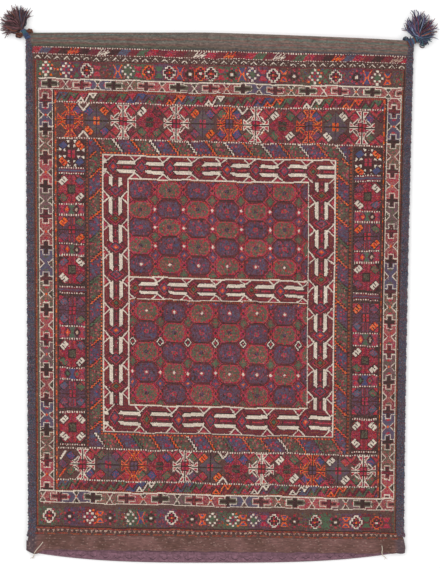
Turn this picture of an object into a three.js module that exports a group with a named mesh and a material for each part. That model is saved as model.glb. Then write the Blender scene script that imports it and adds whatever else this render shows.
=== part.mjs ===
// A flat-woven kilim storage sack lying on its back: one long cloth folded in half, joined down both
// sides by a wrapped yarn binding, with a yarn tassel bound to each corner of the folded end and the
// mouth open at the other end. Millimetres. +X runs across the sack, +Y from the mouth to the folded
// end, +Z up from the surface it lies on. The origin is under the middle of the sack.
import * as THREE from "three";

// ---- driving dimensions ----
const clothThick = 3.2; // one layer of the woven cloth
const pocketHigh = 8; // clear height inside, between front and back
const seamGap = 0.6; // clear height left between the two layers where the binding holds them

const foldLeftY = 583; // folded end, over its left part
const foldDrop = 18; // how much lower the folded end lies at its right corner
const frontHemY = -557; // front hem at the middle
const frontHemSlope = 5; // the front hem is this much lower at the right, higher at the left
const backHemY = -561; // back hem at the sides
const backHemSag = 22; // the back hem bulges this much further out at the middle

const leftEdge = { mouth: -417, fold: -423 }; // outer side of the left binding
const rightEdge = { mouth: 413, fold: 435, bend: 1.5 }; // outer side of the right binding

const binding = { width: 19, high: 12.4, wall: 2.3, bulge: 4, clear: 0.3, mouthY: -527 };
const bindingTaper = 0.24; // the binding is wider by this share at the mouth, narrower at the fold
const clothInset = 4; // from the outer side of the binding to the cloth's cut edge
const cornerFlare = { out: 12, long: 22 }; // the unbound corners of the mouth spread sideways

const tassel = { neck: 4.6, spread: 33, long: 62, flat: 0.36, middleZ: 12.4 };
const wrap = { outer: 7, long: 14, clear: 0.5, start: 1.5 };
const leftTasselTurn = 138; // degrees from +X, the way the left tassel points
const rightTasselTurn = 50;

const stitchYarn = 1.6; // diameter of the yarn that holds the back hem
const hemStitch = { pitch: 26, deep: 9, inset: 4, from: -350, to: 320 };
const tackThread = 1.8; // diameter of the loose thread at each mouth corner

const colours = {
  cloth: 0x6b3a40,
  binding: 0x4d4860,
  wrap: 0x3f5a7c,
  leftTuft: 0x5f3c40,
  rightTuft: 0x4a4a66,
  stitch: 0x4a2e38,
  tack: 0xc9bba0,
};

const wool = (color) => new THREE.MeshStandardMaterial({ color, roughness: 0.92, metalness: 0 });

const smooth = (from, to, x) => THREE.MathUtils.smoothstep(x, from, to);
const mix = THREE.MathUtils.lerp;

// ---- the outline of the sack, in plan ----
const midX = (leftEdge.mouth + rightEdge.mouth) / 2;
const halfX = (rightEdge.mouth - leftEdge.mouth) / 2;

// 0 at the mouth and 1 at the fold
const along = (y) => THREE.MathUtils.clamp((y - frontHemY) / (foldLeftY - frontHemY), 0, 1);
const leftX = (y) => mix(leftEdge.mouth, leftEdge.fold, along(y));
const rightX = (y) => mix(rightEdge.mouth, rightEdge.fold, along(y) ** rightEdge.bend);

const foldY = (u) => foldLeftY - foldDrop * Math.max(0, (u + 0.1) / 1.1) ** 1.3;
const frontMouthY = (u) => frontHemY - frontHemSlope * u;
const backMouthY = (u) => backHemY - backHemSag * (1 - u * u);

// ---- the cloth: two layers and the fold that joins them, one closed slab bent into a U ----
// Stops along the slab run from the front hem up to the fold, round it, and down to the back hem.
// Each has its share of the way from hem to fold and its turn round the fold, in degrees.
const layerShares = [0, 0.006, 0.012, 0.02, 0.03, 0.045, 0.16, 0.3, 0.45, 0.6, 0.75, 0.88, 1];
const foldTurns = [68, 45, 22, 0, -22, -45, -68];
const stops = [
  ...layerShares.map((share) => ({ share, turn: 90 })),
  ...foldTurns.map((turn) => ({ share: 1, turn })),
  ...[...layerShares].reverse().map((share) => ({ share, turn: -90 })),
];
const stackHigh = 2 * clothThick + pocketHigh;
const acrossSteps = 30;

// height of the pocket, and how far the back layer is lifted over the binding's lower wall
const taperFrom = 96; // the pocket reaches its full height this far in from the side
const pocketAt = (inward) => mix(seamGap, pocketHigh, smooth(taperFrom / 4, taperFrom, inward));
const liftAt = (inward) =>
  mix(binding.wall + binding.clear, 0, smooth(taperFrom / 4, taperFrom / 2, inward));

function placeClothPoint(p) {
  const u = Math.sin(p.x * Math.PI);
  const { share, turn } = stops[Math.round((p.y + 0.5) * (stops.length - 1))];
  const radius = p.z > 0 ? stackHigh / 2 : pocketHigh / 2;
  const angle = THREE.MathUtils.degToRad(turn);
  const mouth = turn > 0 ? frontMouthY(u) : backMouthY(u);
  const y = mix(mouth, foldY(u) - stackHigh / 2, share) + radius * Math.cos(angle);
  const z = stackHigh / 2 + radius * Math.sin(angle);

  const flare = cornerFlare.out * smooth(0, cornerFlare.long, binding.mouthY - 1 - y);
  const left = leftX(y) + clothInset - flare;
  const right = rightX(y) - clothInset + flare * 0.6;
  const x = mix(left, right, (u + 1) / 2);

  const inward = Math.min(x - leftX(y), rightX(y) - x);
  const above = THREE.MathUtils.clamp((z - clothThick) / pocketHigh, 0, 1);
  p.set(x, y, z - above * (pocketHigh - pocketAt(inward)) + liftAt(inward));
}

function warped(geometry, place) {
  const points = geometry.getAttribute("position");
  const p = new THREE.Vector3();
  for (let i = 0; i < points.count; i++) {
    place(p.fromBufferAttribute(points, i));
    points.setXYZ(i, p.x, p.y, p.z);
  }
  return geometry;
}

function cloth() {
  const slab = new THREE.BoxGeometry(1, 1, 1, acrossSteps, stops.length - 1, 1);
  return warped(slab, placeClothPoint);
}

// ---- the side bindings: a wrapped yarn channel that grips both cut edges ----
// In the section, x runs inwards from the outer side and y is height.
function bindingSection() {
  const { width, high, wall, bulge } = binding;
  const back = clothInset - 0.5;
  const outline = new THREE.Shape();
  outline.moveTo(width, 0);
  outline.lineTo(width, wall);
  outline.lineTo(back, wall);
  outline.lineTo(back, high - wall);
  outline.lineTo(width, high - wall);
  outline.lineTo(width, high);
  outline.lineTo(bulge, high);
  outline.bezierCurveTo(bulge / 3, high, 0, high * 0.8, 0, high / 2);
  outline.bezierCurveTo(0, high * 0.2, bulge / 3, 0, bulge, 0);
  outline.closePath();
  return outline;
}

// Turns every face round, for a shape that was mirrored as it was placed.
function reversed(geometry) {
  const at = geometry.getAttribute("position");
  for (let i = 0; i < at.count; i += 3) {
    const [x, y, z] = [at.getX(i), at.getY(i), at.getZ(i)];
    at.setXYZ(i, at.getX(i + 1), at.getY(i + 1), at.getZ(i + 1));
    at.setXYZ(i + 1, x, y, z);
  }
  return geometry;
}

function sideBinding(side) {
  const topY = foldY(side) - 1;
  const solid = new THREE.ExtrudeGeometry(bindingSection(), {
    depth: 1,
    steps: 12,
    curveSegments: 4,
    bevelEnabled: false,
  });
  warped(solid, (p) => {
    const y = mix(binding.mouthY, topY, p.z);
    const edge = side < 0 ? leftX(y) : rightX(y);
    const wider = p.x > clothInset ? bindingTaper * (0.5 - p.z) * (p.x - clothInset) : 0;
    p.set(edge - side * (p.x + wider), y, p.y);
  });
  return side < 0 ? reversed(solid) : solid;
}

// ---- tassels: a flattened tuft of cut yarn on a bound neck ----
function tassels(side) {
  const turn = THREE.MathUtils.degToRad(side < 0 ? leftTasselTurn : rightTasselTurn);
  const endY = foldY(side);
  const edge = side < 0 ? leftX(endY) : rightX(endY);
  const corner = new THREE.Vector2(edge - side * 2, endY + wrap.outer * 0.8);
  const bound = wrap.start + wrap.long;
  const point = (p) => {
    const h = p.y;
    const flat = mix(1, tassel.flat, smooth(bound, tassel.long / 2, h));
    const rise = mix(wrap.outer + 0.1, tassel.middleZ, smooth(bound, bound + 10, h));
    const [across, up] = [p.x, p.z * flat];
    p.set(
      corner.x + h * Math.cos(turn) + across * Math.sin(turn),
      corner.y + h * Math.sin(turn) - across * Math.cos(turn),
      rise + up,
    );
  };
  const { neck, spread, long } = tassel;
  const profile = [
    [0, 0],
    [neck, 0],
    [neck, bound + 1],
    [neck * 2, bound + 6],
    [spread * 0.72, long * 0.45],
    [spread * 0.97, long * 0.62],
    [spread, long * 0.75],
    [spread * 0.8, long * 0.9],
    [spread * 0.42, long * 0.98],
    [0, long],
  ];
  const ring = [
    [neck + wrap.clear, wrap.start],
    [wrap.outer - 1, wrap.start],
    [wrap.outer, wrap.start + 2],
    [wrap.outer, bound - 2],
    [wrap.outer - 1, bound],
    [neck + wrap.clear, bound],
    [neck + wrap.clear, wrap.start],
  ];
  const turned = (points, around) =>
    new THREE.LatheGeometry(points.map(([r, h]) => new THREE.Vector2(r, h)), around);
  return {
    tuft: warped(turned(profile, 28), point),
    wrap: warped(turned(ring, 20), point),
  };
}

// ---- yarns laid on the cloth ----
function yarn(points, diameter, steps, sides = 8) {
  const section = new THREE.Shape(
    Array.from({ length: sides }, (_, i) => {
      const turn = (2 * Math.PI * i) / sides;
      return new THREE.Vector2((diameter / 2) * Math.cos(turn), (diameter / 2) * Math.sin(turn));
    }),
  );
  const path = new THREE.CatmullRomCurve3(points.map((p) => new THREE.Vector3(...p)));
  return new THREE.ExtrudeGeometry(section, { extrudePath: path, steps, bevelEnabled: false });
}

// upper face of each layer, well inside the bindings
const backTop = clothThick;
const frontTop = stackHigh;
const uAt = (x) => (x - midX) / halfX;

// One thread that whips the turned edge of the back hem, seen from inside the mouth.
function hemStitching() {
  const { pitch, deep, inset, from, to } = hemStitch;
  const z = backTop + stitchYarn / 2 + 0.3;
  const points = [];
  for (let x = from, i = 0; x <= to; x += pitch / 2, i++) {
    points.push([x, backMouthY(uAt(x)) + inset + (i % 2) * deep, z]);
  }
  return yarn(points, stitchYarn, points.length * 2, 6);
}

// A short thread is left at each mouth corner, over the front hem and out past the back hem.
const tackTop = (x) => {
  const inward = Math.min(x - leftX(frontHemY), rightX(frontHemY) - x);
  return 2 * clothThick + pocketAt(inward) + liftAt(inward) + tackThread / 2 + 0.9;
};

function mouthTack(route) {
  const points = route.map(([x, out, drop]) => [x, frontHemY - out, tackTop(x) - drop]);
  return yarn(points, tackThread, 14);
}

// each point: x, how far out past the middle of the front hem, how far below the hem's upper face
const leftTack = [
  [-383, -20, 0],
  [-390, -11, 0],
  [-397, -3, 0],
  [-402, 4, 0.2],
  [-405, 14, 4],
];
const rightTack = [
  [363, -12, 0],
  [364, -4, 0],
  [363, 3, 0],
  [364, 9, 0],
  [371, 15, 3],
];

// ---- the whole sack ----
const sack = new THREE.Group();

function add(name, geometry, color) {
  const piece = new THREE.Mesh(geometry, wool(color));
  piece.name = name;
  sack.add(piece);
}

add("kilim_cloth", cloth(), colours.cloth);
add("left_side_binding", sideBinding(-1), colours.binding);
add("right_side_binding", sideBinding(1), colours.binding);

const left = tassels(-1);
const right = tassels(1);
add("left_tassel_tuft", left.tuft, colours.leftTuft);
add("left_tassel_wrap", left.wrap, colours.wrap);
add("right_tassel_tuft", right.tuft, colours.rightTuft);
add("right_tassel_wrap", right.wrap, colours.wrap);

add("back_hem_stitching", hemStitching(), colours.stitch);
add("left_mouth_tack", mouthTack(leftTack), colours.tack);
add("right_mouth_tack", mouthTack(rightTack), colours.tack);

export default sack;
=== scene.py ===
# A flat-woven kilim storage sack, lying on its back on a pale studio floor.
# Two layers of one folded cloth, wrapped side bindings, a tassel at each corner of the folded end.
import math
import bmesh
import bpy
import numpy as np
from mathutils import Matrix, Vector


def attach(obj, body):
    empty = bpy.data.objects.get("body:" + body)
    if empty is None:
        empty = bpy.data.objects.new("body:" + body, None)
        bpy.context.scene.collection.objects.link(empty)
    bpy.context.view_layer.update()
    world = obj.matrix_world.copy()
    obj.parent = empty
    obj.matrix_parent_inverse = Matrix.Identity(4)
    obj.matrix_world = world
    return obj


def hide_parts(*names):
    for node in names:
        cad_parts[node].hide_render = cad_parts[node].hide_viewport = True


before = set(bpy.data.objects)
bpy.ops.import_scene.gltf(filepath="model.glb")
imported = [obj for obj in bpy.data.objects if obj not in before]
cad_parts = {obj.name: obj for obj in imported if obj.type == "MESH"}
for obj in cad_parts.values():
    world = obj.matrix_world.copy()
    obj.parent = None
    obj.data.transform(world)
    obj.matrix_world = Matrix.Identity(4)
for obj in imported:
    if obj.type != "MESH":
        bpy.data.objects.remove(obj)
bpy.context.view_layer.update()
scene = bpy.context.scene
mm = 0.001
print("frame loaded")


# The camera looks straight down, with the sack a little below the middle.
camera = {"high": 3.0, "viewWide": 1.2496, "focus": 0.014, "at": (0.0066, 0.0308)}
eye = bpy.data.cameras.new("camera")
eye.sensor_width = 36.0
eye.lens = 36.0 * (camera["high"] - camera["focus"]) / camera["viewWide"]
cameraObject = bpy.data.objects.new("camera", eye)
cameraObject.location = (*camera["at"], camera["high"])
scene.collection.objects.link(cameraObject)
scene.camera = cameraObject


def toLinear(hexColour, gain=1.0):
    channels = [int(hexColour[i:i + 2], 16) / 255 for i in (0, 2, 4)]
    linear = [c / 12.92 if c <= 0.04045 else ((c + 0.055) / 1.055) ** 2.4 for c in channels]
    return (*[c * gain for c in linear], 1.0)


def addNode(tree, kind, settings=None, links=None):
    node = tree.nodes.new("ShaderNode" + kind)
    for name, value in (settings or {}).items():
        if isinstance(name, int) or name in node.inputs:
            node.inputs[name].default_value = value
        else:
            setattr(node, name, value)
    for name, source in (links or {}).items():
        tree.links.new(source, node.inputs[name])
    return node


def newMaterial(name):
    material = bpy.data.materials.new(name)
    material.use_nodes = True
    tree = material.node_tree
    tree.nodes.clear()
    return material, tree


def smooth(low, high, x):
    t = np.clip((np.asarray(x, dtype=float) - low) / (high - low), 0, 1)
    return t * t * (3 - 2 * t)


def mix(a, b, t):
    return a + (b - a) * t


def finishPiece(mesh, name, material, nodes=()):
    mesh.materials.append(material)
    piece = bpy.data.objects.new(name, mesh)
    scene.collection.objects.link(piece)
    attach(piece, "root")
    if nodes:
        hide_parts(*nodes)
    return piece


# A flat grid bent to its place, u across and v along, both 0 to 1. "place" gives where each point lies and
# its column and row in the draft, kept as "stitch" for the wool materials.
def bentGrid(name, across, along, place):
    bm = bmesh.new()
    bmesh.ops.create_grid(bm, x_segments=across, y_segments=along, size=1)
    mesh = bpy.data.meshes.new(name)
    bm.to_mesh(mesh)
    bm.free()
    points = np.empty(len(mesh.vertices) * 3)
    mesh.vertices.foreach_get("co", points)
    points = points.reshape(-1, 3)
    u, v = (points[:, 0] + 1) / 2, (points[:, 1] + 1) / 2
    where, stitch = place(u, v)
    mesh.vertices.foreach_set("co", where.astype(np.float32).ravel())
    corner = np.empty(len(mesh.loops), dtype=np.int32)
    mesh.loops.foreach_get("vertex_index", corner)
    uv = mesh.uv_layers.new(name="OFBake")
    uv.data.foreach_set("uv", np.stack([u[corner], v[corner]], 1).astype(np.float32).ravel())
    mesh.polygons.foreach_set("use_smooth", np.ones(len(mesh.polygons), dtype=bool))
    mesh.update()
    setAttribute(mesh, "stitch", "FLOAT_VECTOR", "POINT", stitch)
    return mesh


def setAttribute(mesh, name, kind, domain, values):
    attribute = mesh.attributes.new(name, kind, domain)
    attribute.data.foreach_set("vector" if kind == "FLOAT_VECTOR" else "value",
                               np.asarray(values, dtype=np.float32).ravel())


# Yarns as closed tubes. Each is (points, radius, dye): a grid rolled round its line, ends drawn to a point.
def yarnMesh(name, yarnList, around=6):
    bm = bmesh.new()
    dyeLayer = bm.faces.layers.float.new("dye")
    alongLayer = bm.verts.layers.float.new("along")
    angles = np.linspace(0, 2 * math.pi, around + 1)
    places, runs, dyes = [], [], []
    for points, radius, dye in yarnList:
        points = np.asarray(points, dtype=float)
        heading = np.gradient(points, axis=0)
        heading /= np.linalg.norm(heading, axis=1)[:, None] + 1e-12
        side = np.cross(heading, (0.0, 0.0, 1.0))
        steep = np.linalg.norm(side, axis=1) < 0.05
        side[steep] = np.cross(heading[steep], (0.0, 1.0, 0.0))
        for i in range(1, len(side)):
            if side[i] @ side[i - 1] < 0:
                side[i] = -side[i]
        side /= np.linalg.norm(side, axis=1)[:, None] + 1e-12
        up = np.cross(side, heading)
        far = np.concatenate([[0], np.cumsum(np.linalg.norm(np.diff(points, axis=0), axis=1))])
        rows = np.concatenate([[0], np.arange(len(points)), [len(points) - 1]])
        wide = np.concatenate([[0], np.broadcast_to(radius, len(points)), [0]])[:, None, None]
        turned = (np.cos(angles)[None, :, None] * side[rows][:, None, :]
                  + np.sin(angles)[None, :, None] * up[rows][:, None, :])
        places.append((points[rows][:, None, :] + wide * turned).reshape(-1, 3))
        runs.append(np.repeat(far[rows], around + 1))
        dyes.append(np.repeat(np.broadcast_to(dye, len(rows) - 1), around))
        bmesh.ops.create_grid(bm, x_segments=around, y_segments=len(rows) - 1, size=1)
    for vert, place, run in zip(bm.verts, np.concatenate(places), np.concatenate(runs)):
        vert.co = place
        vert[alongLayer] = run
    for face, dye in zip(bm.faces, np.concatenate(dyes)):
        face[dyeLayer] = dye
        face.smooth = True
    bmesh.ops.remove_doubles(bm, verts=bm.verts, dist=1e-7)
    bmesh.ops.recalc_face_normals(bm, faces=bm.faces)
    mesh = bpy.data.meshes.new(name)
    bm.to_mesh(mesh)
    bm.free()
    return mesh


# The woven design is drawn as yarns on a grid of stitches. One unit of the draft is one wrapped stitch.
# Columns run from the left edge and rows from the fold down to the mouth.
draft = {
    "unit": 0.0022, "wide": 385.0, "long": 515.0,  # metres to a unit, then the front's size in units
    "patternRows": (12.0, 501.0),  # first and last row with a pattern; the rest is plain
    "cells": (560, 710),  # the grid is a little finer than the stitches
    "seed": 41,
    "drift": (0.45, 0.35),  # how many cells a woven line wanders
    "stray": 0.05, "aside": 0.07, "loose": 0.02,  # share of cells shifted down, across, and well across
}
unit, draftWide, draftLong = draft["unit"], draft["wide"], draft["long"]
patternFrom, patternTo = draft["patternRows"]
cellsWide, cellsLong = draft["cells"]
cellW = draftWide / cellsWide
cellH = (patternTo - patternFrom) / cellsLong
weave = np.zeros((cellsLong, cellsWide), dtype=np.int16)
chance = np.random.default_rng(draft["seed"])

yarns = {
    "brown": "5e4540", "dark": "3f2e2c", "ivory": "d5c5b6", "madder": "a53b4a", "maroon": "74323a",
    "rose": "9b5a58", "orange": "d2552f", "blue": "474f70", "purple": "5f495a", "green": "50634d",
    "moss": "5c5648", "slate": "55596a", "tan": "b29283", "rust": "8c4538", "wine": "5c3438",
    "mauve": "7a545c", "bone": "c3aea1",
}
yarnIndex = {name: i for i, name in enumerate(yarns)}
dyeGain = 0.82  # wool drinks light, so every dye is laid in darker than its card


def cellSpan(low, high, start, size, count):
    a = int(max(0, np.floor((low - start) / size)))
    b = int(min(count, np.ceil((high - start) / size)))
    return a, max(a, b)


# What is drawn next stays inside these columns and rows.
frameNow = [0.0, patternFrom, draftWide, patternTo]


def within(c0=0.0, r0=patternFrom, c1=draftWide, r1=patternTo):
    frameNow[:] = [c0, r0, c1, r1]


def cellWindow(low, high):
    low = np.maximum(low, frameNow[:2])
    high = np.minimum(high, frameNow[2:])
    c0, c1 = cellSpan(low[0], high[0], 0.0, cellW, cellsWide)
    r0, r1 = cellSpan(low[1], high[1], patternFrom, cellH, cellsLong)
    cols = (np.arange(c0, c1) + 0.5) * cellW
    rows = patternFrom + (np.arange(r0, r1) + 0.5) * cellH
    return slice(r0, r1), slice(c0, c1), cols[None, :], rows[:, None]


# A motif is drawn in its own coordinates, then put down at (column, row), stretched and turned.
def put(col, row, sx=1.0, sy=1.0, turned=False):
    return col, row, sx, sy, turned


def toDraft(at, points):
    col, row, sx, sy, turned = at
    p = np.asarray(points, dtype=float)
    if turned:
        p = p[:, ::-1]
    return p * (sx, sy) + (col, row)


# Lays one yarn where the mask is true, with a share of a second one strewn in.
def lay(window, mask, yarn, other=None, share=0.0):
    rowSlice, colSlice = window
    part = weave[rowSlice, colSlice]
    part[mask] = yarnIndex[yarn]
    if other and share:
        part[mask & (chance.random(mask.shape) < share)] = yarnIndex[other]


def fill(at, points, yarn, other=None, share=0.0):
    p = toDraft(at, points)
    rs, cs, x, y = cellWindow(p.min(0), p.max(0))
    if x.size == 0 or y.size == 0:
        return
    inside = np.zeros((y.size, x.size), dtype=bool)
    for (x0, y0), (x1, y1) in zip(p, np.roll(p, -1, axis=0)):
        if y0 == y1:
            continue
        crosses = (y0 > y) != (y1 > y)
        inside ^= crosses & (x < (x1 - x0) * (y - y0) / (y1 - y0) + x0)
    lay((rs, cs), inside, yarn, other, share)


def stroke(at, points, wide, yarn, other=None, share=0.0):
    p = toDraft(at, points)
    for (x0, y0), (x1, y1) in zip(p[:-1], p[1:]):
        low, high = np.minimum((x0, y0), (x1, y1)) - wide, np.maximum((x0, y0), (x1, y1)) + wide
        rs, cs, x, y = cellWindow(low, high)
        if x.size == 0 or y.size == 0:
            continue
        dx, dy = x1 - x0, y1 - y0
        t = np.clip(((x - x0) * dx + (y - y0) * dy) / max(dx * dx + dy * dy, 1e-9), 0, 1)
        near = (x - x0 - t * dx) ** 2 + (y - y0 - t * dy) ** 2 <= (wide / 2) ** 2
        lay((rs, cs), near, yarn, other, share)


def block(at, x0, y0, x1, y1, yarn, other=None, share=0.0):
    fill(at, [(x0, y0), (x1, y0), (x1, y1), (x0, y1)], yarn, other, share)


def lozenge(at, x, y, hw, hh, yarn, other=None, share=0.0):
    fill(at, [(x - hw, y), (x, y - hh), (x + hw, y), (x, y + hh)], yarn, other, share)


here = put(0, 0)


# A line of broken stitches: upright when both x are the same, level otherwise.
def dashes(x0, y0, x1, y1, wide, yarn, gapYarn, on, off):
    across = x0 == x1
    along = abs(y1 - y0) if across else abs(x1 - x0)
    low = (x0 - wide / 2, y0) if across else (x0, y0 - wide / 2)
    high = (x0 + wide / 2, y1) if across else (x1, y0 + wide / 2)
    rs, cs, x, y = cellWindow(low, high)
    s = (y - y0 if across else x - x0) + 0 * x + 0 * y
    inside = (s >= 0) & (s <= along)
    lay((rs, cs), inside, gapYarn)
    lay((rs, cs), inside & (s % (on + off) < on), yarn)


def fourSquares(at, yarn, wide=1.2, tall=1.65, gap=1.9):
    for i in (-1, 1):
        for j in (-1, 1):
            block(at, i * gap - wide, j * (tall + 0.4) - tall, i * gap + wide, j * (tall + 0.4) + tall, yarn)


# A slanting hook: a bright bar with a notch from each side.
def sHook(at, yarn):
    def turned(points):
        return [((a + b) * 0.707, (b - a) * 0.707) for a, b in points]  # an eighth of a turn

    for x0, y0, x1, y1, dye in ((-4.6, -3.2, 4.6, 3.2, "dark"), (-4.0, -2.6, 4.0, 2.6, yarn),
                                (0.8, -2.7, 1.8, 1.1, "dark"), (-1.8, -1.1, -0.8, 2.7, "dark")):
        fill(at, turned([(x0, y0), (x1, y0), (x1, y1), (x0, y1)]), dye)


def slab(at, yarn, spot):
    shape = np.array([(-4.6, -0.4), (-0.6, -4.6), (4.6, 0.4), (0.6, 4.6)])
    fill(at, shape * 1.2, "dark")
    fill(at, shape, yarn, spot, 0.22)


# One arm of a medallion: x runs out along the arm, split down its middle by a dark line.
def bowTie(at, edge, inner):
    for side in (-1, 1):
        for shape, yarn in (([(4.6, 5.0), (9.9, 2.2), (16.2, 6.6), (16.2, 0.6), (4.6, 0.6)], edge),
                            ([(15.4, 1.35), (15.4, 5.2), (10.9, 1.35)], inner),
                            ([(9.7, 1.35), (5.4, 1.35), (5.4, 3.8)], inner)):
            fill(at, [(x, y * side) for x, y in shape], yarn)


def medallion(col, row, tall, edge):
    inner = "maroon" if edge == "orange" else "madder"
    k = tall / 16.5
    for turned, reach in ((True, 1.0), (False, 0.78)):
        for way in (-1, 1):
            sx, sy = (1.0, way * k) if turned else (way * reach, k * 0.92)
            bowTie(put(col, row, sx, sy, turned), edge, inner)
    for sx in (-1, 1):
        for sy in (-1, 1):
            stroke(put(col, row, sx, sy * k), [(4.4, -8.4), (8.6, -4.0)], 1.0, edge)
    at = put(col, row, 1, k)
    block(at, -4.2, -5.0, 4.2, 5.0, "dark")
    block(at, -3.7, -4.4, 3.7, 4.4, "wine" if edge == "orange" else "maroon")
    fourSquares(at, "purple" if edge == "orange" else "madder")
    stroke(at, [(0, -16), (0, 16)], 0.8, "dark")
    stroke(at, [(-12.5, 0), (12.5, 0)], 0.8, "dark")


# The ground between two medallions, with its centre.
def panel(col, row, tall, kind):
    at = put(col, row, 1, tall / 16.5)
    if kind == "red":
        lozenge(at, 0, 0, 13.5, 15, "maroon", "madder", 0.45)
        stroke(at, [(0, -16), (0, 16)], 1.2, "maroon")
        for side in (-1, 1):
            stroke(at, [(side * 3.4, -16), (side * 3.4, 16)], 0.9, "madder")
        block(at, -4.0, -4.6, 4.0, 4.6, "dark", "moss", 0.35)
        stroke(at, [(-12, 0), (12, 0)], 0.8, "maroon")
        return
    lozenge(at, 0, 0, 12.5, 14, "purple", "moss", 0.4)
    stroke(at, [(0, -16), (0, 16)], 1.0, "dark")
    stroke(at, [(-12, 0), (12, 0)], 0.8, "dark")
    fourSquares(at, kind)


# What fills the four corners between a medallion and the next panel, and the triangles above and below.
def corners(col, row, tall, codes):
    k = tall / 16.5
    fills = {"m": "wine", "r": "madder", "b": "blue", "g": "green", "p": "purple"}
    for way in (-1, 1):
        at = put(col, row + way * 16.2 * k, 1, -way)
        if codes[4 if way < 0 else 5] == "v":
            stroke(at, [(-4.4, 0.4), (0, 6.0), (4.4, 0.4)], 1.5, "ivory")
        else:
            fill(at, [(-6.4, -0.6), (6.4, -0.6), (0, 6.4)], "madder", "rust", 0.15)
            fill(at, [(-3.2, -0.6), (3.2, -0.6), (0, 3.0)], "wine")
    spots = ((-5.6, -9.6, 1), (5.6, -9.6, -1), (-5.6, 9.6, -1), (5.6, 9.6, 1))
    for code, (x, y, lean) in zip(codes, spots):
        if code in "io":
            sHook(put(col + x, row + y * k, -lean, 1.0), "ivory" if code == "i" else "orange")
        elif code in fills:
            slab(put(col + x, row + y * k, lean, 1.0), fills[code], "madder" if code != "r" else "rust")


# Small letters are medallions and capitals are the panels between them.
def mainBorder(row, tall, first, pitch, kinds, gaps):
    block(here, 31.5, row - tall, 357.5, row + tall, "brown", "wine", 0.3)
    for i, kind in enumerate(kinds):
        if kind not in "oi":
            panel(first + pitch * i, row, tall, {"O": "orange", "R": "madder", "D": "red"}[kind])
    for i, codes in enumerate(gaps):
        corners(first + pitch * (i + 0.5), row, tall, codes)
    for i, kind in enumerate(kinds):
        if kind in "oi":
            medallion(first + pitch * i, row, tall, {"o": "orange", "i": "ivory"}[kind])


# One box of the column down each side of the middle.
boxHalf = 13.2


def sideBox(col, row, tall, red, hooks, lean):
    ground = ("maroon", "madder", 0.4) if red else ("wine", "purple", 0.45)
    block(here, col - boxHalf, row - tall, col + boxHalf, row + tall, *ground)
    k = tall / 14
    at = put(col, row, 1, k)
    for sx in (-1, 1):
        for sy in (-1, 1):
            corner = put(col, row, sx, sy * k)
            fill(corner, [(boxHalf, 14), (boxHalf, 8.5), (8.0, 14)], "dark" if red else "madder")
            stroke(corner, [(3.4, 13), (12.5, 3.4)], 0.8, "dark")
            stroke(corner, [(2.6, 12.6), (2.6, 5.6)], 0.8, "madder")
    stroke(at, [(0, -13.6), (0, 13.6)], 1.3, "maroon")
    stroke(at, [(-12.8, 0), (12.8, 0)], 0.8, "madder" if red else "dark")
    for i, (sx, sy) in enumerate(((-1, -1), (1, 1), (1, -1), (-1, 1))):
        spot = (col + sx * 8.4, row + sy * tall * 0.58)
        if hooks and (lean == 0 or (i < 2) == (lean > 0)):
            sHook(put(*spot, sx * sy), hooks)
        else:
            dye = ("slate", "green", "purple", "slate")[(i + int(row)) % 4]
            slab(put(*spot, -sx * sy, 0.9), dye, "madder")
    if red:
        block(at, -4.1, -4.4, 4.1, 4.4, "dark")
        block(at, -3.0, -3.4, 3.0, 3.4, "moss", "dark", 0.35)
    else:
        block(at, -3.9, -4.4, 3.9, 4.4, "dark")
        fourSquares(at, "madder")


def starBox(col, row, tall):
    block(here, col - boxHalf, row - tall, col + boxHalf, row + tall, "dark", "wine", 0.4)
    for sx in (-1, 1):
        for sy in (-1, 1):
            for point in ([(1.8, 13.4), (5.0, 13.6), (3.6, 10.6)], [(12.6, 5.4), (12.8, 2.0), (9.6, 3.2)],
                          [(1.8, 9.6), (5.2, 8.2), (2.2, 6.8)], [(6.8, 5.4), (9.0, 2.2), (5.6, 2.6)]):
                fill(put(col, row, sx, sy), point, "ivory")
            spot = (col + sx * 8.4, row + sy * 8.4)
            if sx * sy < 0:
                sHook(put(*spot, -1), "orange")
            else:
                slab(put(*spot, -1, 0.9), "blue", "purple")
    fourSquares(put(col, row), "madder", 1.4)


def dottedRule(col, row):
    stroke(here, [(col - 13, row), (col + 13, row)], 1.8, "dark")
    dashes(col - 12.6, row, col + 12.2, 0, 0.8, "ivory", "maroon", 1.1, 1.3)


# The narrow band between two boxes, either crossed with small diamonds or plain.
def narrowBand(col, row, tall, crossed):
    block(here, col - boxHalf, row - tall, col + boxHalf, row + tall, "maroon", "purple", 0.35)
    if crossed:
        marks = (("dark", "green"), ("blue", None), ("madder", "green"))
        if int(row) % 2:
            marks = (("madder", "orange"), ("green", None), ("dark", "tan"))
        marks = (("madder", None), *marks, ("madder", None))
        for x, (edge, core) in zip((-9.6, -4.6, 0, 4.8, 9.8), marks):
            at = put(col + x, row, 1, tall / 5)
            if core:
                lozenge(at, 0, 0, 3.3, 4.8, "dark")
                lozenge(at, 0, 0, 2.7, 4.0, edge)
                lozenge(at, 0, 0, 1.6, 2.3, core)
            else:
                hourglass = [(-3.4, -4.8), (3.4, -4.8), (0.8, 0), (3.4, 4.8), (-3.4, 4.8), (-0.8, 0)]
                fill(at, hourglass, edge, "purple", 0.2)
    else:
        stroke(here, [(col - 13, row), (col + 13, row)], 1.2, "slate")
    for way in (-1, 1):
        dottedRule(col, row + way * (tall + 0.4))


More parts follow.
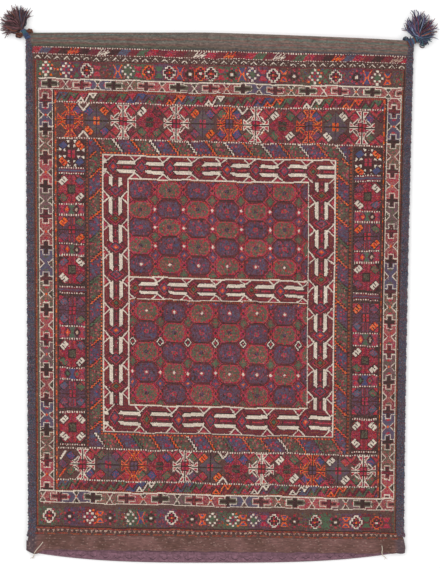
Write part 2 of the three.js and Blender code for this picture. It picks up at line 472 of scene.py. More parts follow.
# Each box of a column: row, half its height, red or dark, hook colour on the left, on the right, and which
# corners the hooks take there (1 top left and bottom right, -1 the other two, 0 all four).
sideBoxes = (
    (154.6, 14.4, True, "ivory", "ivory", 1, -1),
    (195.2, 13.4, False, "orange", "orange", 1, 1),
    (235.6, 13.6, True, "ivory", "ivory", -1, 1),
    (276.2, 14.4, False, None, "orange", 1, 1),
    (318.8, 13.9, True, "ivory", "ivory", 1, 1),
    (359.2, 13.5, False, None, None, 1, 1),
    (393.0, 15.0, True, "ivory", "ivory", 0, 0),
)
narrowBands = ((136.0, 2.6, False), (175.0, 5.0, True), (215.4, 5.2, True), (255.4, 2.6, False),
               (297.8, 6.0, True), (338.8, 5.6, True))


def boxColumn(col, onRight):
    block(here, col - 14.8, 104, col + 14.8, 412, "dark", "brown", 0.3)
    starBox(col, 120.0 if onRight else 118.5, 13.2)
    for row, half, red, leftHook, rightHook, leftLean, rightLean in sideBoxes:
        sideBox(col, row, half, red, *((rightHook, rightLean) if onRight else (leftHook, leftLean)))
    for row, half, crossed in narrowBands:
        narrowBand(col, row, half, crossed)
    for row in (377.4, 409.8):
        dottedRule(col, row)


# A place s units along a band; level, or turned to run down a side. The motif is stretched across the band.
def onBand(line, s, across, way=1):
    col, row, turned = line
    if turned:
        return put(col, row + s * way, across, way, True)
    return put(col + s * way, row, way, across)


# Crosses and hourglasses in thin pale outline. The slip draws the first ones closer together.
def meander(line, length, half, step, count, phase, slip=0.0):
    turned = line[2]
    base = onBand(line, 0, half)
    k = step / 32.0

    def place(i):
        s = (i + phase) * step
        return s + slip * math.exp(-((s / length - 0.28) / 0.17) ** 2)

    grounds = (("rose", "maroon"), ("purple", "slate"), ("moss", "rose"), ("rose", "madder"),
               ("mauve", "moss"))
    for i in range(-1, count + 2):
        tone, other = grounds[i % 5]
        block(base, max(place(i - 0.5), 0), -1, min(place(i + 0.5), length), 1, tone, other, 0.4)
    tip, wing = (0.3, 4.9) if turned else (0.08, 3.7)
    arm, bar, thin = (0.44, 7.6 * k, 0.28) if turned else (0.54, 8.4 * k, 0.24)
    for i in range(-1, count + 2):
        at = onBand(line, place(i), half)
        for way in (-1, 1):
            fill(at, [(0.5 - wing, way), (wing - 0.5, way), (0, way * tip)],
                 ("wine", "dark", "maroon")[i % 3], "moss", 0.35)
            stroke(at, [(-wing, way), (-0.3, way * tip), (0.3, way * tip), (wing, way)], 0.8,
                   "ivory", "bone", 0.4)
            lozenge(at, way * 6.9 * k, 0, 1.3, 0.42, ("moss", "madder")[i % 2])
        if i % 2:
            lozenge(at, 0, 0, 1.3, 0.22, "orange")
        at = onBand(line, place(i + 0.5), half)
        inner = ("maroon", "dark", "wine", "dark")[i % 4]
        if not turned:
            block(at, -bar, -arm, bar, arm, "moss" if i % 2 else "rose")
        block(at, 1.2 * k - bar, -thin, bar - 1.2 * k, thin, "dark", inner, 0.35)
        block(at, -1.8 * k, -0.84, 1.8 * k, 0.84, "dark", "wine", 0.25)
        block(at, -1.0 * k, -0.8, 1.0 * k, 0.8, inner)
        for way in (-1, 1):
            for side in (-1, 1):
                stroke(at, [(way * 2.7 * k, side), (way * 2.7 * k, side * arm), (way * bar, side * arm),
                            (way * bar, 0)], 0.8, "ivory", "bone", 0.4)
    for way in (-1, 1):
        stroke(base, [(0, way), (length, way)], 0.75, "ivory")


# Leaning triangles in pairs; the bright ones stand at the columns given.
def zigzag(row, tall, first, last, bright, step=9.75):
    block(here, first, row - tall, last, row + tall, "wine", "dark", 0.5)
    cycle = ("green", "madder", "maroon", "moss", "maroon", "green", "madder", "blue", "purple", "green",
             "maroon", "madder", "slate")
    accents = {round((col - 11 - first) / step): yarn for col, yarn in bright.items()}
    for i in range(-2, int((last - first) / step) + 1):
        yarn = accents.get(i, cycle[i % len(cycle)])
        at = put(first + 5 + i * step, row, 1, tall / 4.4)
        for shape, core in (
                ([(-4.2, 4.3), (4.2, 4.3), (0, -1.3)], [(-1.7, 3.5), (1.7, 3.5), (0, 1.0)]),
                ([(7.8, -4.3), (16.2, -4.3), (12, 1.3)], [(10.3, -3.5), (13.7, -3.5), (12, -1.0)])):
            fill(at, shape, yarn, None if i in accents else "dark", 0.12)
            fill(at, core, "dark" if i in accents else ("madder", "purple", "rust")[i % 3])
        stroke(at, [(3.6, 4.1), (8.4, -4.1)], 1.1, yarn)


# Leaning blocks with stepped lines between them.
def guard(line, way, length, half, step, lineYarns):
    def place(s):
        col, row, turned = line
        across = way * half / 5.5
        return put(col, row + s, across, 1, True) if turned else put(col + s, row, 1, across)

    lean = 10.0
    low, high = -lean / 2, lean / 2
    spots = [(i - 0.4) * step for i in range(-1, int(length / step) + 3)]
    for i, s in enumerate(spots):
        shape = [(low, -5.5), (step + low, -5.5), (step + high, 5.5), (high, 5.5)]
        fill(place(s), shape, ("moss", "purple")[i % 2], "wine", 0.42)
        flecks = (("madder", "green", "madder", "rose"), ("blue", "madder", "blue", "slate"))[i % 2]
        for k, (x, y) in enumerate(chance.uniform((1, -4.6), (step - 1, 4.6), (26, 2))):
            size = 0.9 if k % 2 else 0.6
            block(place(s), x + y * 0.9 - size, y - size, x + y * 0.9 + size, y + size, flecks[k % 4])
    for i, s in enumerate(spots):
        steps = [(low, -5.5)]
        for j in range(5):
            x, y = steps[-1]
            steps += [(x + lean / 5, y), (x + lean / 5, y + 2.2)]
        for shift in (-1.4, 1.4):
            stroke(place(s), [(x + shift, y) for x, y in steps], 1.0, "dark")
        stroke(place(s), steps, 0.85, lineYarns[i % len(lineYarns)])


# Ivory bars in pairs between diamonds, with arms out to both edges. x runs against the point.
def hookBorder(line, way, length, half, step, count, first, centres):
    k = half / 11.6
    base = onBand(line, 0, k, way)
    block(base, 0, -11.6, length, 11.6, "wine", "maroon", 0.25)
    for y, yarn, wide in ((0, "madder", 1.3), (7.7, "maroon", 1.2), (-7.7, "maroon", 1.2)):
        stroke(base, [(0, y), (length, y)], wide, yarn)
    for side in (-1, 1):
        stroke(base, [(0, side * 6.6), (length, side * 6.6)], 0.8, "dark")
        stroke(base, [(0, side * 10.4), (length, side * 10.4)], 1.0, "maroon")
        for x in np.arange(0, length, 1.9):
            stroke(base, [(x, side * 9.2), (x + 0.6, side * 9.2)], 0.8, "rust")
    for i in range(count):
        at = onBand(line, first + i * step, k, way)
        tone = centres[i % len(centres)]
        green = tone == "green"
        for wide, tall, yarn in ((10.2, 12.4, "dark"), (9.0, 11.2, "maroon"), (7.7, 9.6, "wine"),
                                 (6.6, 8.2, "madder"), (5.3, 6.6, "dark"),
                                 (4.3, 5.3, "rust" if green else "purple"),
                                 (2.7, 3.3, "dark" if green else "madder"), (1.7, 2.1, tone)):
            lozenge(at, 0, 0, wide, tall, yarn)
    near, far = 6.6, step - 4.4
    shapes = (
        ([(near - 2.0, 2.3), (far + 2.0, 2.3), (far + 2.6, 3.0), (far - 1.4, 7.0), (near, 7.0)], "dark"),
        ([(near - 0.6, 3.0), (far + 1.3, 3.0), (far - 1.6, 6.3), (near + 0.8, 6.3)], "ivory"),
        ([(1.2, 11.6), (11.6, 11.6), (near + 0.2, 7.0)], "maroon"),
        ([(3.6, 11.6), (9.4, 11.6), (6.4, 8.8)], "madder"),
    )
    arms = (([(0.4, 11.6), (near + 0.4, 5.8)], 1.15), ([(12.2, 11.6), (near + 0.8, 6.6)], 1.1))
    for i in range(-1, count):
        at = onBand(line, first + i * step, k, way)
        for side in (-1, 1):
            for shape, yarn in shapes:
                fill(at, [(x, y * side) for x, y in shape], yarn)
            for route, wide in arms:
                stroke(at, [(x, y * side) for x, y in route], wide, "ivory")


def octagon(at, hw, hh, yarn, other=None, share=0.0):
    a, b = hw * 0.62, hh * 0.5
    rim = [(-hw, -b), (-a, -hh), (a, -hh), (hw, -b), (hw, b), (a, hh), (-a, hh), (-hw, b)]
    fill(at, rim, yarn, other, share)


def fieldOctagon(col, row, tall, tone, centre):
    at = put(col, row)
    octagon(at, 12.5, tall + 0.1, "dark", "wine", 0.3)
    if tone == "green":
        octagon(at, 11.7, tall - 0.6, "madder", "rust", 0.12)
        octagon(at, 9.5, tall - 2.2, "moss", "madder", 0.16)
        for i in range(14):
            turn = math.tau * (i + 0.5) / 14
            x, y = 9.8 * math.cos(turn), (tall - 1.9) * math.sin(turn)
            block(at, x - 0.6, y - 0.9, x + 0.6, y + 0.9, "moss" if i % 3 else "green")
        for x, y in chance.uniform((-8.6, 2.2 - tall), (8.6, tall - 2.2), (48, 2)):
            block(at, x - 0.55, y - 0.8, x + 0.55, y + 0.8,
                  ("madder", "rose", "madder", "maroon", "green")[int(abs(x * 9)) % 5])
        octagon(at, 2.1, 1.8, "purple", "dark", 0.5)
    else:
        octagon(at, 11.7, tall - 0.7, "wine", "maroon", 0.45)
        octagon(at, 10.4, tall - 1.5, "purple", "wine", 0.4)
        for x, y in chance.uniform((-9.0, 1.4 - tall), (9.0, tall - 1.6), (40, 2)):
            block(at, x - 0.5, y - 0.9, x + 0.5, y + 0.9,
                  ("blue", "madder", "slate", "madder", "dark", "purple")[int(abs(x * 9)) % 6])
        octagon(at, 2.3, 2.1, "madder")
        octagon(at, 1.0, 0.9, "moss")
    if centre:
        lozenge(at, 0, 0, 2.2, 2.4, "rose")
        lozenge(at, 0, 0, 1.4, 1.6, centre)


# Octagons in offset colours, small diamonds in the gaps, and one row of bright diamonds where "big" says.
def field(low, high, rows, pitch, firstCol, starts, dotRows, ivoryCentres, big=None, tall=9.1):
    block(here, 104.4, low, 282.4, high, "wine", "maroon", 0.5)
    edges = [rows[0] - (rows[1] - rows[0]) / 2] + [(a + b) / 2 for a, b in zip(rows, rows[1:])]
    for k, edge in enumerate(edges + [2 * rows[-1] - edges[-1]]):
        for i in range(-1, 8):
            mid = firstCol + (i + 0.5) * pitch
            tone = ("blue", "green")[k % 2]
            lozenge(here, mid, edge, 7.0, 8.8, "madder")
            lozenge(here, mid, edge, 5.0, 6.5, "dark")
            lozenge(here, mid, edge, 4.4, 5.7, "purple" if tone == "blue" else "moss", "maroon", 0.35)
            lozenge(here, mid, edge, 2.6, 3.4, tone, "madder", 0.2)
            if tone == "blue":
                lozenge(here, mid, edge, 1.4, 1.6, "orange")
            if big == k:
                for wide, high, yarn in ((4.6, 5.6, "dark"), (3.8, 4.7, "ivory"), (2.7, 3.4, "dark"),
                                         (1.1, 1.4, "madder")):
                    lozenge(here, mid, edge, wide, high, yarn)
    for k, row in enumerate(rows):
        for i in range(-1, 8):
            col = firstCol + i * pitch
            tone = ("green", "purple")[(i + (starts[k] == "p")) % 2]
            fieldOctagon(col, row, tall, tone, "ivory" if ivoryCentres[k] else None)
        for i in range(-1, 8):
            mid = firstCol + (i + 0.5) * pitch
            lozenge(here, mid, row, 2.9, 3.4, "madder")
            lozenge(here, mid, row, 1.5, 1.9, "ivory" if dotRows[k] else "dark")


def squares(at, spots, yarn, size=1.15):
    for x, y in spots:
        block(at, x - size, y - size, x + size, y + size, yarn)


def star(col, row, kind):
    at = put(col, row)
    ring = [(0, -6.3), (2.6, -3.4), (5.2, 0), (2.6, 3.4), (0, 6.3), (-2.6, 3.4), (-5.2, 0), (-2.6, -3.4)]
    zig = [(-1.7, -6.6), (1.7, -6.6), (1.7, -4.8), (3.8, -4.8), (3.8, -2.2), (5.8, -2.2), (5.8, 2.2),
           (3.8, 2.2), (3.8, 4.8), (1.7, 4.8), (1.7, 6.6), (-1.7, 6.6), (-1.7, 4.8), (-3.8, 4.8),
           (-3.8, 2.2), (-5.8, 2.2), (-5.8, -2.2), (-3.8, -2.2), (-3.8, -4.8), (-1.7, -4.8), (-1.7, -6.6)]
    inner = [(0, -3.3), (0, 3.3), (-2.5, 0), (2.5, 0)]
    if kind == "s":
        squares(at, ring, "ivory", 1.1)
        squares(at, inner, "madder", 1.1)
        squares(at, [(0, 0)], "purple", 1.4)
        squares(at, [(3.6, -6.8), (-5.8, 4.6), (5.0, 6.0), (6.4, -3.6)], "orange", 1.0)
    elif kind == "q":
        squares(at, ring, "ivory", 1.05)
        lozenge(at, 0, 0, 3.4, 4.2, "moss", "green", 0.5)
        squares(at, [(3.8, -5.9), (-3.8, 5.9)], "rose", 0.8)
    elif kind in "rt":
        fill(at, zig, "dark", "wine", 0.3)
        stroke(at, zig, 0.95, "ivory" if kind == "r" else "orange")
        squares(at, inner, "madder", 0.9)
        squares(at, [(4.4, -5.6), (-4.4, 5.6), (4.4, 5.6)], "madder", 0.9)
        squares(at, [(0, 0)], "orange" if kind == "r" else "ivory", 1.1)
    elif kind == "f":
        squares(at, [(0, -3.6), (0, 3.6), (-3.6, 0), (3.6, 0)], "dark", 1.2)
        squares(at, [(2.4, 2.4), (-2.4, 2.4), (2.4, -2.4), (-2.4, -2.4)], "dark", 1.0)
        squares(at, [(0, -6.0), (0, 6.0), (-4.6, -3.6), (4.6, 3.6), (-4.6, 3.6), (4.6, -3.6)], "madder", 1.0)
        squares(at, [(0, 0)], "ivory", 1.25)
    elif kind in "hog":
        edge = {"h": "madder", "o": "orange", "g": "green"}[kind]
        for way in (-1, 1):
            fill(at, [(-4.0, way * 5.6), (4.0, way * 5.6), (1.8, way * 1.0), (-1.8, way * 1.0)], edge)
            if kind == "o":
                fill(at, [(-2.6, way * 5.2), (2.6, way * 5.2), (0, way * 2.4)], "blue")
    elif kind == "x":
        block(at, -3.6, -6.2, 3.6, 6.2, "blue", "purple", 0.4)
        for way in (-1, 1):
            bent = [(-3.9 * way, -6.4), (-1.4 * way, -1.4), (-1.4 * way, 1.4), (-3.9 * way, 6.4)]
            stroke(at, bent, 1.1, "orange")
        stroke(at, [(-1.6, 0), (1.6, 0)], 1.2, "orange")
    elif kind == "p":
        for i, spot in enumerate(chance.uniform((-4.2, -5.6), (4.2, 5.6), (16, 2))):
            squares(at, [spot], ("madder", "purple", "green", "rust")[i % 4], 0.8)
    elif kind == "m":
        for way in (-1, 1):
            fill(at, [(-2.6, way * 6), (0, way * 2), (2.6, way * 6)], "green")
        stroke(at, [(-3.2, -5.6), (3.2, 5.6)], 1.0, "maroon")
        stroke(at, [(3.2, -5.6), (-3.2, 5.6)], 1.0, "maroon")
    elif kind == ".":
        squares(at, [(-1.9, 0), (1.9, 0)], "orange", 1.05)


def starBand(row, tall, first, step, kinds):
    tones = ("green", "moss", "brown", "maroon", "purple", "moss")
    for i in range(-1, len(kinds) + 2):
        x = first + (i - 0.5) * step
        block(here, x, row - tall, x + step, row + tall, tones[(i * 5 + i // 3) % 6], "wine", 0.4)
        for k, (dx, dy) in enumerate(chance.uniform((0, -tall), (step, tall), (12, 2))):
            squares(here, [(x + dx, row + dy)], ("rust", "madder", "blue", "moss")[k % 4], 0.5)
    for i, kind in enumerate(kinds):
        star(first + i * step, row, kind)


# Leaning bars from left to right, a letter for each yarn; the bright ones are three thin zigzags.
bars = "rswdodwidswgrwrwbirwowrgwiwgrwdosrwdwtrw"
barYarns = {"r": "madder", "s": "slate", "w": "maroon", "d": "dark", "o": "orange", "i": "ivory",
            "g": "green", "b": "brown", "t": "tan"}


def barBand(row, tall):
    block(here, 8.4, row - tall, 377, row + tall, "brown", "wine", 0.5)
    x = 6.0
    for code in bars:
        yarn = barYarns[code]
        wide = 9.4 if code not in "oit" else 11.0
        at = put(x, row)
        shape = [(2.4, -tall), (wide + 2.4, -tall), (wide - 2.4, tall), (-2.4, tall)]
        if code in "oit":
            fill(at, shape, "wine")
            for j in range(3):
                shift = j * 3.6
                zig = [(3.0 + shift, -tall + 0.3), (-1.2 + shift, tall - 0.3), (3.4 + shift, 0)]
                stroke(at, zig, 0.85, yarn)
        else:
            fill(at, shape, yarn, "wine", 0.25)
        x += wide


def chevrons(row, first, step, last):
    block(here, 8.4, row - 2.9, 377, row + 2.9, "brown", "dark", 0.4)
    for x in np.arange(first, last, step):
        stroke(put(x, row), [(-2.6, 1.2), (0, -1.1), (2.6, 1.2)], 0.8, "ivory")
        squares(put(x + step / 2, row), [(0, -1.2)], "ivory", 0.42)
        squares(put(x, row), [(0, 1.9)], "tan", 0.45)


# The whole front, band by band from the fold.
def drawWeave():
    weave[:] = yarnIndex["brown"]
    within()
    for col, yarn in ((9.4, "dark"), (10.5, "rust"), (11.7, "moss"), (12.6, "dark")):
        stroke(here, [(col, 27), (col, 492)], 1.1, yarn)
        stroke(here, [(385.6 - col, 27), (385.6 - col, 492)], 1.1, yarn)
    dashes(8.4, 12.6, 377, 0, 0.7, "ivory", "maroon", 1.15, 1.3)
    barBand(16.5, 3.0)
    dashes(8.4, 20.2, 377, 0, 0.7, "ivory", "maroon", 1.15, 1.3)
    chevrons(23.4, 12.5, 9.75, 375)
    stroke(here, [(8.4, 26.8), (377, 26.8)], 0.9, "maroon")
    within(12.8, 27.4, 373.4, 43.2)
    starBand(35.3, 7.9, 20.6, 10.27, "s.smrhpxqhtgrxftrhfxqhrofpsmrpfxqop")
    within(12.8, 472.6, 372.8, 491.6)
    starBand(482.0, 9.3, 22.3, 10.43, "rpfpsofpqxfprpfoqpsoqhrofprgforgthp")
    within()
    stroke(here, [(12, 43.6), (375, 43.6)], 0.8, "dark")
    stroke(here, [(9, 492.6), (377, 492.6)], 1.0, "dark")
    dashes(9, 494.2, 377, 0, 0.9, "rust", "maroon", 7.0, 2.0)
    block(here, 9, 495.0, 377, 498.6, "brown", "dark", 0.3)
    for x in np.arange(12.0, 376.0, 4.9):
        at = put(x + chance.normal(0, 0.3), 496.8)
        fill(at, [(-1.6, -1.3), (1.6, -1.3), (0, 1.3)], "tan", "rose", 0.25)
    dashes(9, 499.6, 377, 0, 0.75, "rust", "brown", 9.0, 3.0)

    within(12.4, 44.2, 28.0, 470)
    meander((20.1, 52.0, True), 404, 6.9, 29.9, 14, 0.005, -5)
    within(359.8, 44.2, 374.2, 470)
    meander((366.9, 52.0, True), 404, 6.5, 30.2, 14, 0.033)
    within(12.4, 44.0, 374.0, 55.6)
    meander((13.2, 49.5, False), 360.5, 5.1, 32.0, 12, 0.855)
    within(12.4, 455.6, 374.0, 469.6)
    meander((13.2, 462.6, False), 360.5, 5.7, 34.3, 11, 0.075)
    within()
    dashes(28.6, 56.4, 358, 0, 1.0, "rust", "maroon", 1.2, 0.8)
    dashes(30.6, 455.2, 358, 0, 1.1, "rust", "dark", 1.4, 0.7)
    for col in (28.4, 359.0):
        stroke(here, [(col, 56), (col, 456)], 1.2, "dark")
    for col in (30.1, 357.4):
        dashes(col, 57, col, 455, 0.9, "orange", "rust", 3.6, 4.5)

    within(31.4, 57.4, 356.6, 67.0)
    zigzag(62.2, 4.6, 31.5, 356.5,
           {66: "ivory", 154: "orange", 193: "ivory", 243: "orange", 288: "ivory", 327: "orange"})
    within(31.4, 445.8, 356.6, 454.8)
    zigzag(450.4, 4.6, 31.5, 356.5, {124: "ivory", 197: "orange", 233: "ivory", 279: "ivory", 317: "orange"})
    within(31.4, 67.8, 356.6, 102.2)
    mainBorder(85.0, 17.0, 44.9, 26.42, "oOiDiRoiDoOi",
               ("bbmovv", "orbrtt", "rimgtt", "mrgrtt", "romptt", "bgobtt", "bmbgvt", "rirgtt",
                "gpimtt", "bgpitt", "irmrtt", "bmgrtt"))
    within(31.4, 413.6, 356.6, 444.8)
    mainBorder(429.4, 15.4, 56.3, 26.0, "iRoDiRDiDoRi",
               ("rgbrtt", "prbrtt", "rggbtt", "brgmtt", "goprtt", "gbomvv", "bgmptt", "rimgtt",
                "gribtt", "bibmtt", "rmigtt", "bmgrtt"))
    for row, lean, yarn in ((421.0, 1, "blue"), (437.0, -1, "green"), (429.5, 1, "purple")):
        slab(put(44.5 if yarn != "purple" else 36.5, row, lean, 1.0), yarn, "madder")
    stroke(here, [(33.8, 424.5), (38.8, 417.2)], 2.0, "ivory")
    stroke(here, [(33.2, 442.0), (39.2, 433.8)], 1.4, "orange")
    within()
    dashes(31.5, 67.4, 357, 0, 0.7, "ivory", "maroon", 1.15, 1.3)
    dashes(31.5, 445.2, 357, 0, 0.7, "ivory", "wine", 1.15, 1.3)
    dashes(31.5, 102.6, 357, 0, 0.7, "ivory", "maroon", 1.15, 1.3)
    dashes(31.5, 413.2, 357, 0, 0.7, "ivory", "wine", 1.15, 1.3)

    for col, onRight in ((46.2, False), (342.4, True)):
        within(col - 14.6, 103.2, col + 14.6, 412.6)
        boxColumn(col, onRight)
    for col, way in ((69.3, -1), (318.4, 1)):
        within(col - 5.6, 104, col + 5.6, 412)
        guard((col, 104, True), way, 308, 5.6, 21.0,
              ("orange",) * 6 + ("green", "orange") * 3 + ("orange",) * 6)
    within(62, 103.4, 325.6, 116.2)
    guard((62.0, 109.8, False), 1, 264, 6.2, 18.6, ("orange", "ivory"))
    within(62, 398.6, 325.6, 412.4)
    guard((62.0, 405.6, False), 1, 264, 6.6, 18.6, ("orange", "orange", "ivory", "orange", "green"))
    within()
    for col in (62.1, 325.5):
        dashes(col, 103.4, col, 412, 0.8, "rust", "dark", 2.4, 1.2)
    for col in (63.6, 324.0):
        stroke(here, [(col, 104), (col, 412)], 1.0, "dark")
    for col in (75.4, 312.3):
        dashes(col, 117, col, 398, 0.8, "orange", "dark", 1.6, 1.6)
    dashes(75, 116.6, 313, 0, 0.8, "orange", "maroon", 1.6, 1.9)
    dashes(75, 398.2, 313, 0, 0.8, "orange", "maroon", 1.6, 1.9)

    within(103.1, 142.2, 283.4, 240.6)
    field(142.6, 240.4, (152.6, 172.0, 190.4, 208.8, 227.6), 28.8, 115.6, "pgpgp",
          (0, 1, 1, 1, 0), (0, 0, 0, 0, 1))
    within(103.1, 262.3, 283.4, 368.7)
    field(262.6, 368.6, (274.6, 294.8, 314.8, 335.4, 356.4), 27.9, 121.0, "gpgpg", (0, 0, 0, 1, 0),
          (1, 0, 0, 1, 0), 2, 10.0)
    within(77.6, 142.0, 103.1, 369.0)
    hookBorder((90.4, 141.5, True), 1, 230, 11.9, 28.0, 9, 13.0, ("wine", "green", "orange"))
    within(283.4, 142.0, 310.0, 369.0)
    hookBorder((296.7, 141.5, True), 1, 230, 12.4, 28.0, 9, 13.2, ("green", "wine", "orange"))
    within(77.6, 118.7, 310.0, 142.0)
    hookBorder((310.0, 130.4, False), -1, 232.4, 11.2, 28.6, 9, 21.8, ("green", "madder", "rust", "orange"))
    within(77.6, 369.0, 310.0, 396.0)
    hookBorder((310.0, 382.4, False), -1, 232.4, 13.0, 32.2, 8, 28.0, ("orange", "green", "madder", "moss"))
    within(103.1, 240.6, 283.4, 262.3)
    hookBorder((283.4, 251.4, False), -1, 180.3, 10.6, 29.3, 7, 27.5, ("orange", "green"))
    within()
    for row in (118.7, 396.0):
        stroke(here, [(77.6, row), (310.0, row)], 1.0, "ivory")
    for col in (77.6, 310.0):
        stroke(here, [(col, 118.7), (col, 396.0)], 1.0, "ivory")
    for col in (103.1, 283.4):
        stroke(here, [(col, 142.2), (col, 368.7)], 0.85, "ivory")
    for row in (142.2, 240.6, 262.3, 368.7):
        stroke(here, [(103.1, row), (283.4, row)], 0.9, "ivory")
        dashes(104, row + (1.5 if row in (142.2, 262.3) else -1.5), 282.5, 0, 0.9, "rust", "dark", 1.2, 0.9)

    # no woven line is quite straight: rows drift, and here and there a stitch strays
    rows, cols = np.indices(weave.shape)
    slow, quick = draft["drift"]
    drift = slow * np.sin(cols * 0.043 + rows * 0.017) + quick * np.sin(cols * 0.11 - rows * 0.06)

    def some(share, far):
        return (chance.random(weave.shape) < share) * chance.integers(-far, far + 1, weave.shape)

    rows = rows + np.rint(drift).astype(int) + some(draft["stray"], 1)
    cols = cols + some(draft["aside"], 1) + some(draft["loose"], 4)
    weave[:] = weave[np.clip(rows, 0, cellsLong - 1), np.clip(cols, 0, cellsWide - 1)]


drawWeave()
print("weave drawn")


# Where the cloth lies: outline in plan and height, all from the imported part's own measures, in metres.
sack = {
    "mouthY": -0.557, "foldY": 0.583, "foldDrop": 0.018, "leftX": (-0.417, -0.423), "rightX": (0.413, 0.435),
    "frontTop": 0.0144, "seamTop": 0.0096, "foldRadius": 0.0072, "bindingY": -0.527,
    "flareY": -0.506, "flare": (0.0118, 0.0085), "backMouth": -0.561, "backDip": 0.0215,
    "plainCols": (2.4, 382.6),
}


def alongSack(y):
    return np.clip((y - sack["mouthY"]) / (sack["foldY"] - sack["mouthY"]), 0, 1)


def leftEdge(y):
    return mix(*sack["leftX"], alongSack(y))


def rightEdge(y):
    return mix(*sack["rightX"], alongSack(y) ** 1.5)


# The mouth end spreads a little past the sides.
def sideFlare(y, side):
    return sack["flare"][side > 0] * np.clip((sack["flareY"] - y) / 0.046, 0, 1) ** 1.3


def foldLine(w):
    return sack["foldY"] - sack["foldDrop"] * np.maximum(0, (2 * w - 0.9) / 1.1) ** 1.3


def frontMouth(w):
    return sack["mouthY"] - 0.005 * (2 * w - 1)


def backMouth(w):
    return sack["backMouth"] - sack["backDip"] * (1 - np.abs(2 * w - 1) ** 3)


# How many stitches the woven rows have drifted towards the mouth, at each column and row.
def rowDrift(col, row):
    s = col / draftWide
    atFold = (sack["foldY"] - foldLine(s)) / unit
    atMouth = (sack["foldY"] - frontMouth(s)) / unit - draftLong
    reach = np.interp(row, (12, 110, 150, 400, 440, 480, 515), (10.5, 10.5, 9.5, 9.5, 10, 9, 5.3))
    sag = np.interp(row, (12, 90, 250, 500), (0.2, 0.45, 0.35, 0.15))
    inside = reach * (s + sag * s * (1 - s))
    return mix(mix(atFold, inside, smooth(0, 14, row)), atMouth, smooth(480, 515, row))


# Gentle waves of a cloth that has been folded and carried.
def ripple(x, y):
    waves = 0.7 * np.sin(x * 9.1 + y * 3.7 + 0.6) + 0.6 * np.sin(x * -5.3 + y * 13.9 + 2.1)
    waves += 0.45 * np.sin(x * 21.0 + y * 6.2 + 4.0) * np.sin(y * 11.0 + 1.0)
    waves += 0.35 * np.sin(x * 33.0 - y * 17.0)
    return waves * mm


def frontHeight(x, y):
    inward = np.minimum(x - leftEdge(y), rightEdge(y) - x)
    full = mix(sack["seamTop"], sack["frontTop"], smooth(0.016, 0.088, inward))
    sag = 0.0022 * smooth(-0.47, -0.557, y) * smooth(0.016, 0.088, inward)
    return full - sag + ripple(x, y) * smooth(0.02, 0.09, inward)


def frontPoint(col, row):
    y = sack["foldY"] - unit * (row + rowDrift(col, row))
    w = col / draftWide
    atEnd = smooth(505, 515, row)
    droop = 0.0105 * smooth(-0.004, 0.026, w) * (1 - smooth(0.026, 0.062, w)) - 0.0035 * smooth(0.985, 1.0, w)
    left = leftEdge(y) - sideFlare(y, -1) + 0.003 * atEnd
    right = rightEdge(y) + sideFlare(y, 1) - 0.002 * atEnd
    y = y - droop * smooth(501, 515, row)
    lean = 0.8 * np.sin(row * 0.0125 + 0.4) + 0.35 * np.sin(row * 0.041 + col * 0.008)
    x = mix(left, right, w) - unit * lean * np.sin(w * math.pi)
    return np.stack([x, y, frontHeight(x, y)], 1)


# A piece's dyes are numbered, and each number has one step of a colour ramp that doesn't blend.
mostDyes = 32


def setStops(ramp, colours, starts):
    stops = ramp.color_ramp.elements
    for i, (colour, start) in enumerate(zip(colours, starts)):
        stop = stops[i] if i < 2 else stops.new(start)
        stop.position = start
        stop.color = toLinear(colour, dyeGain)


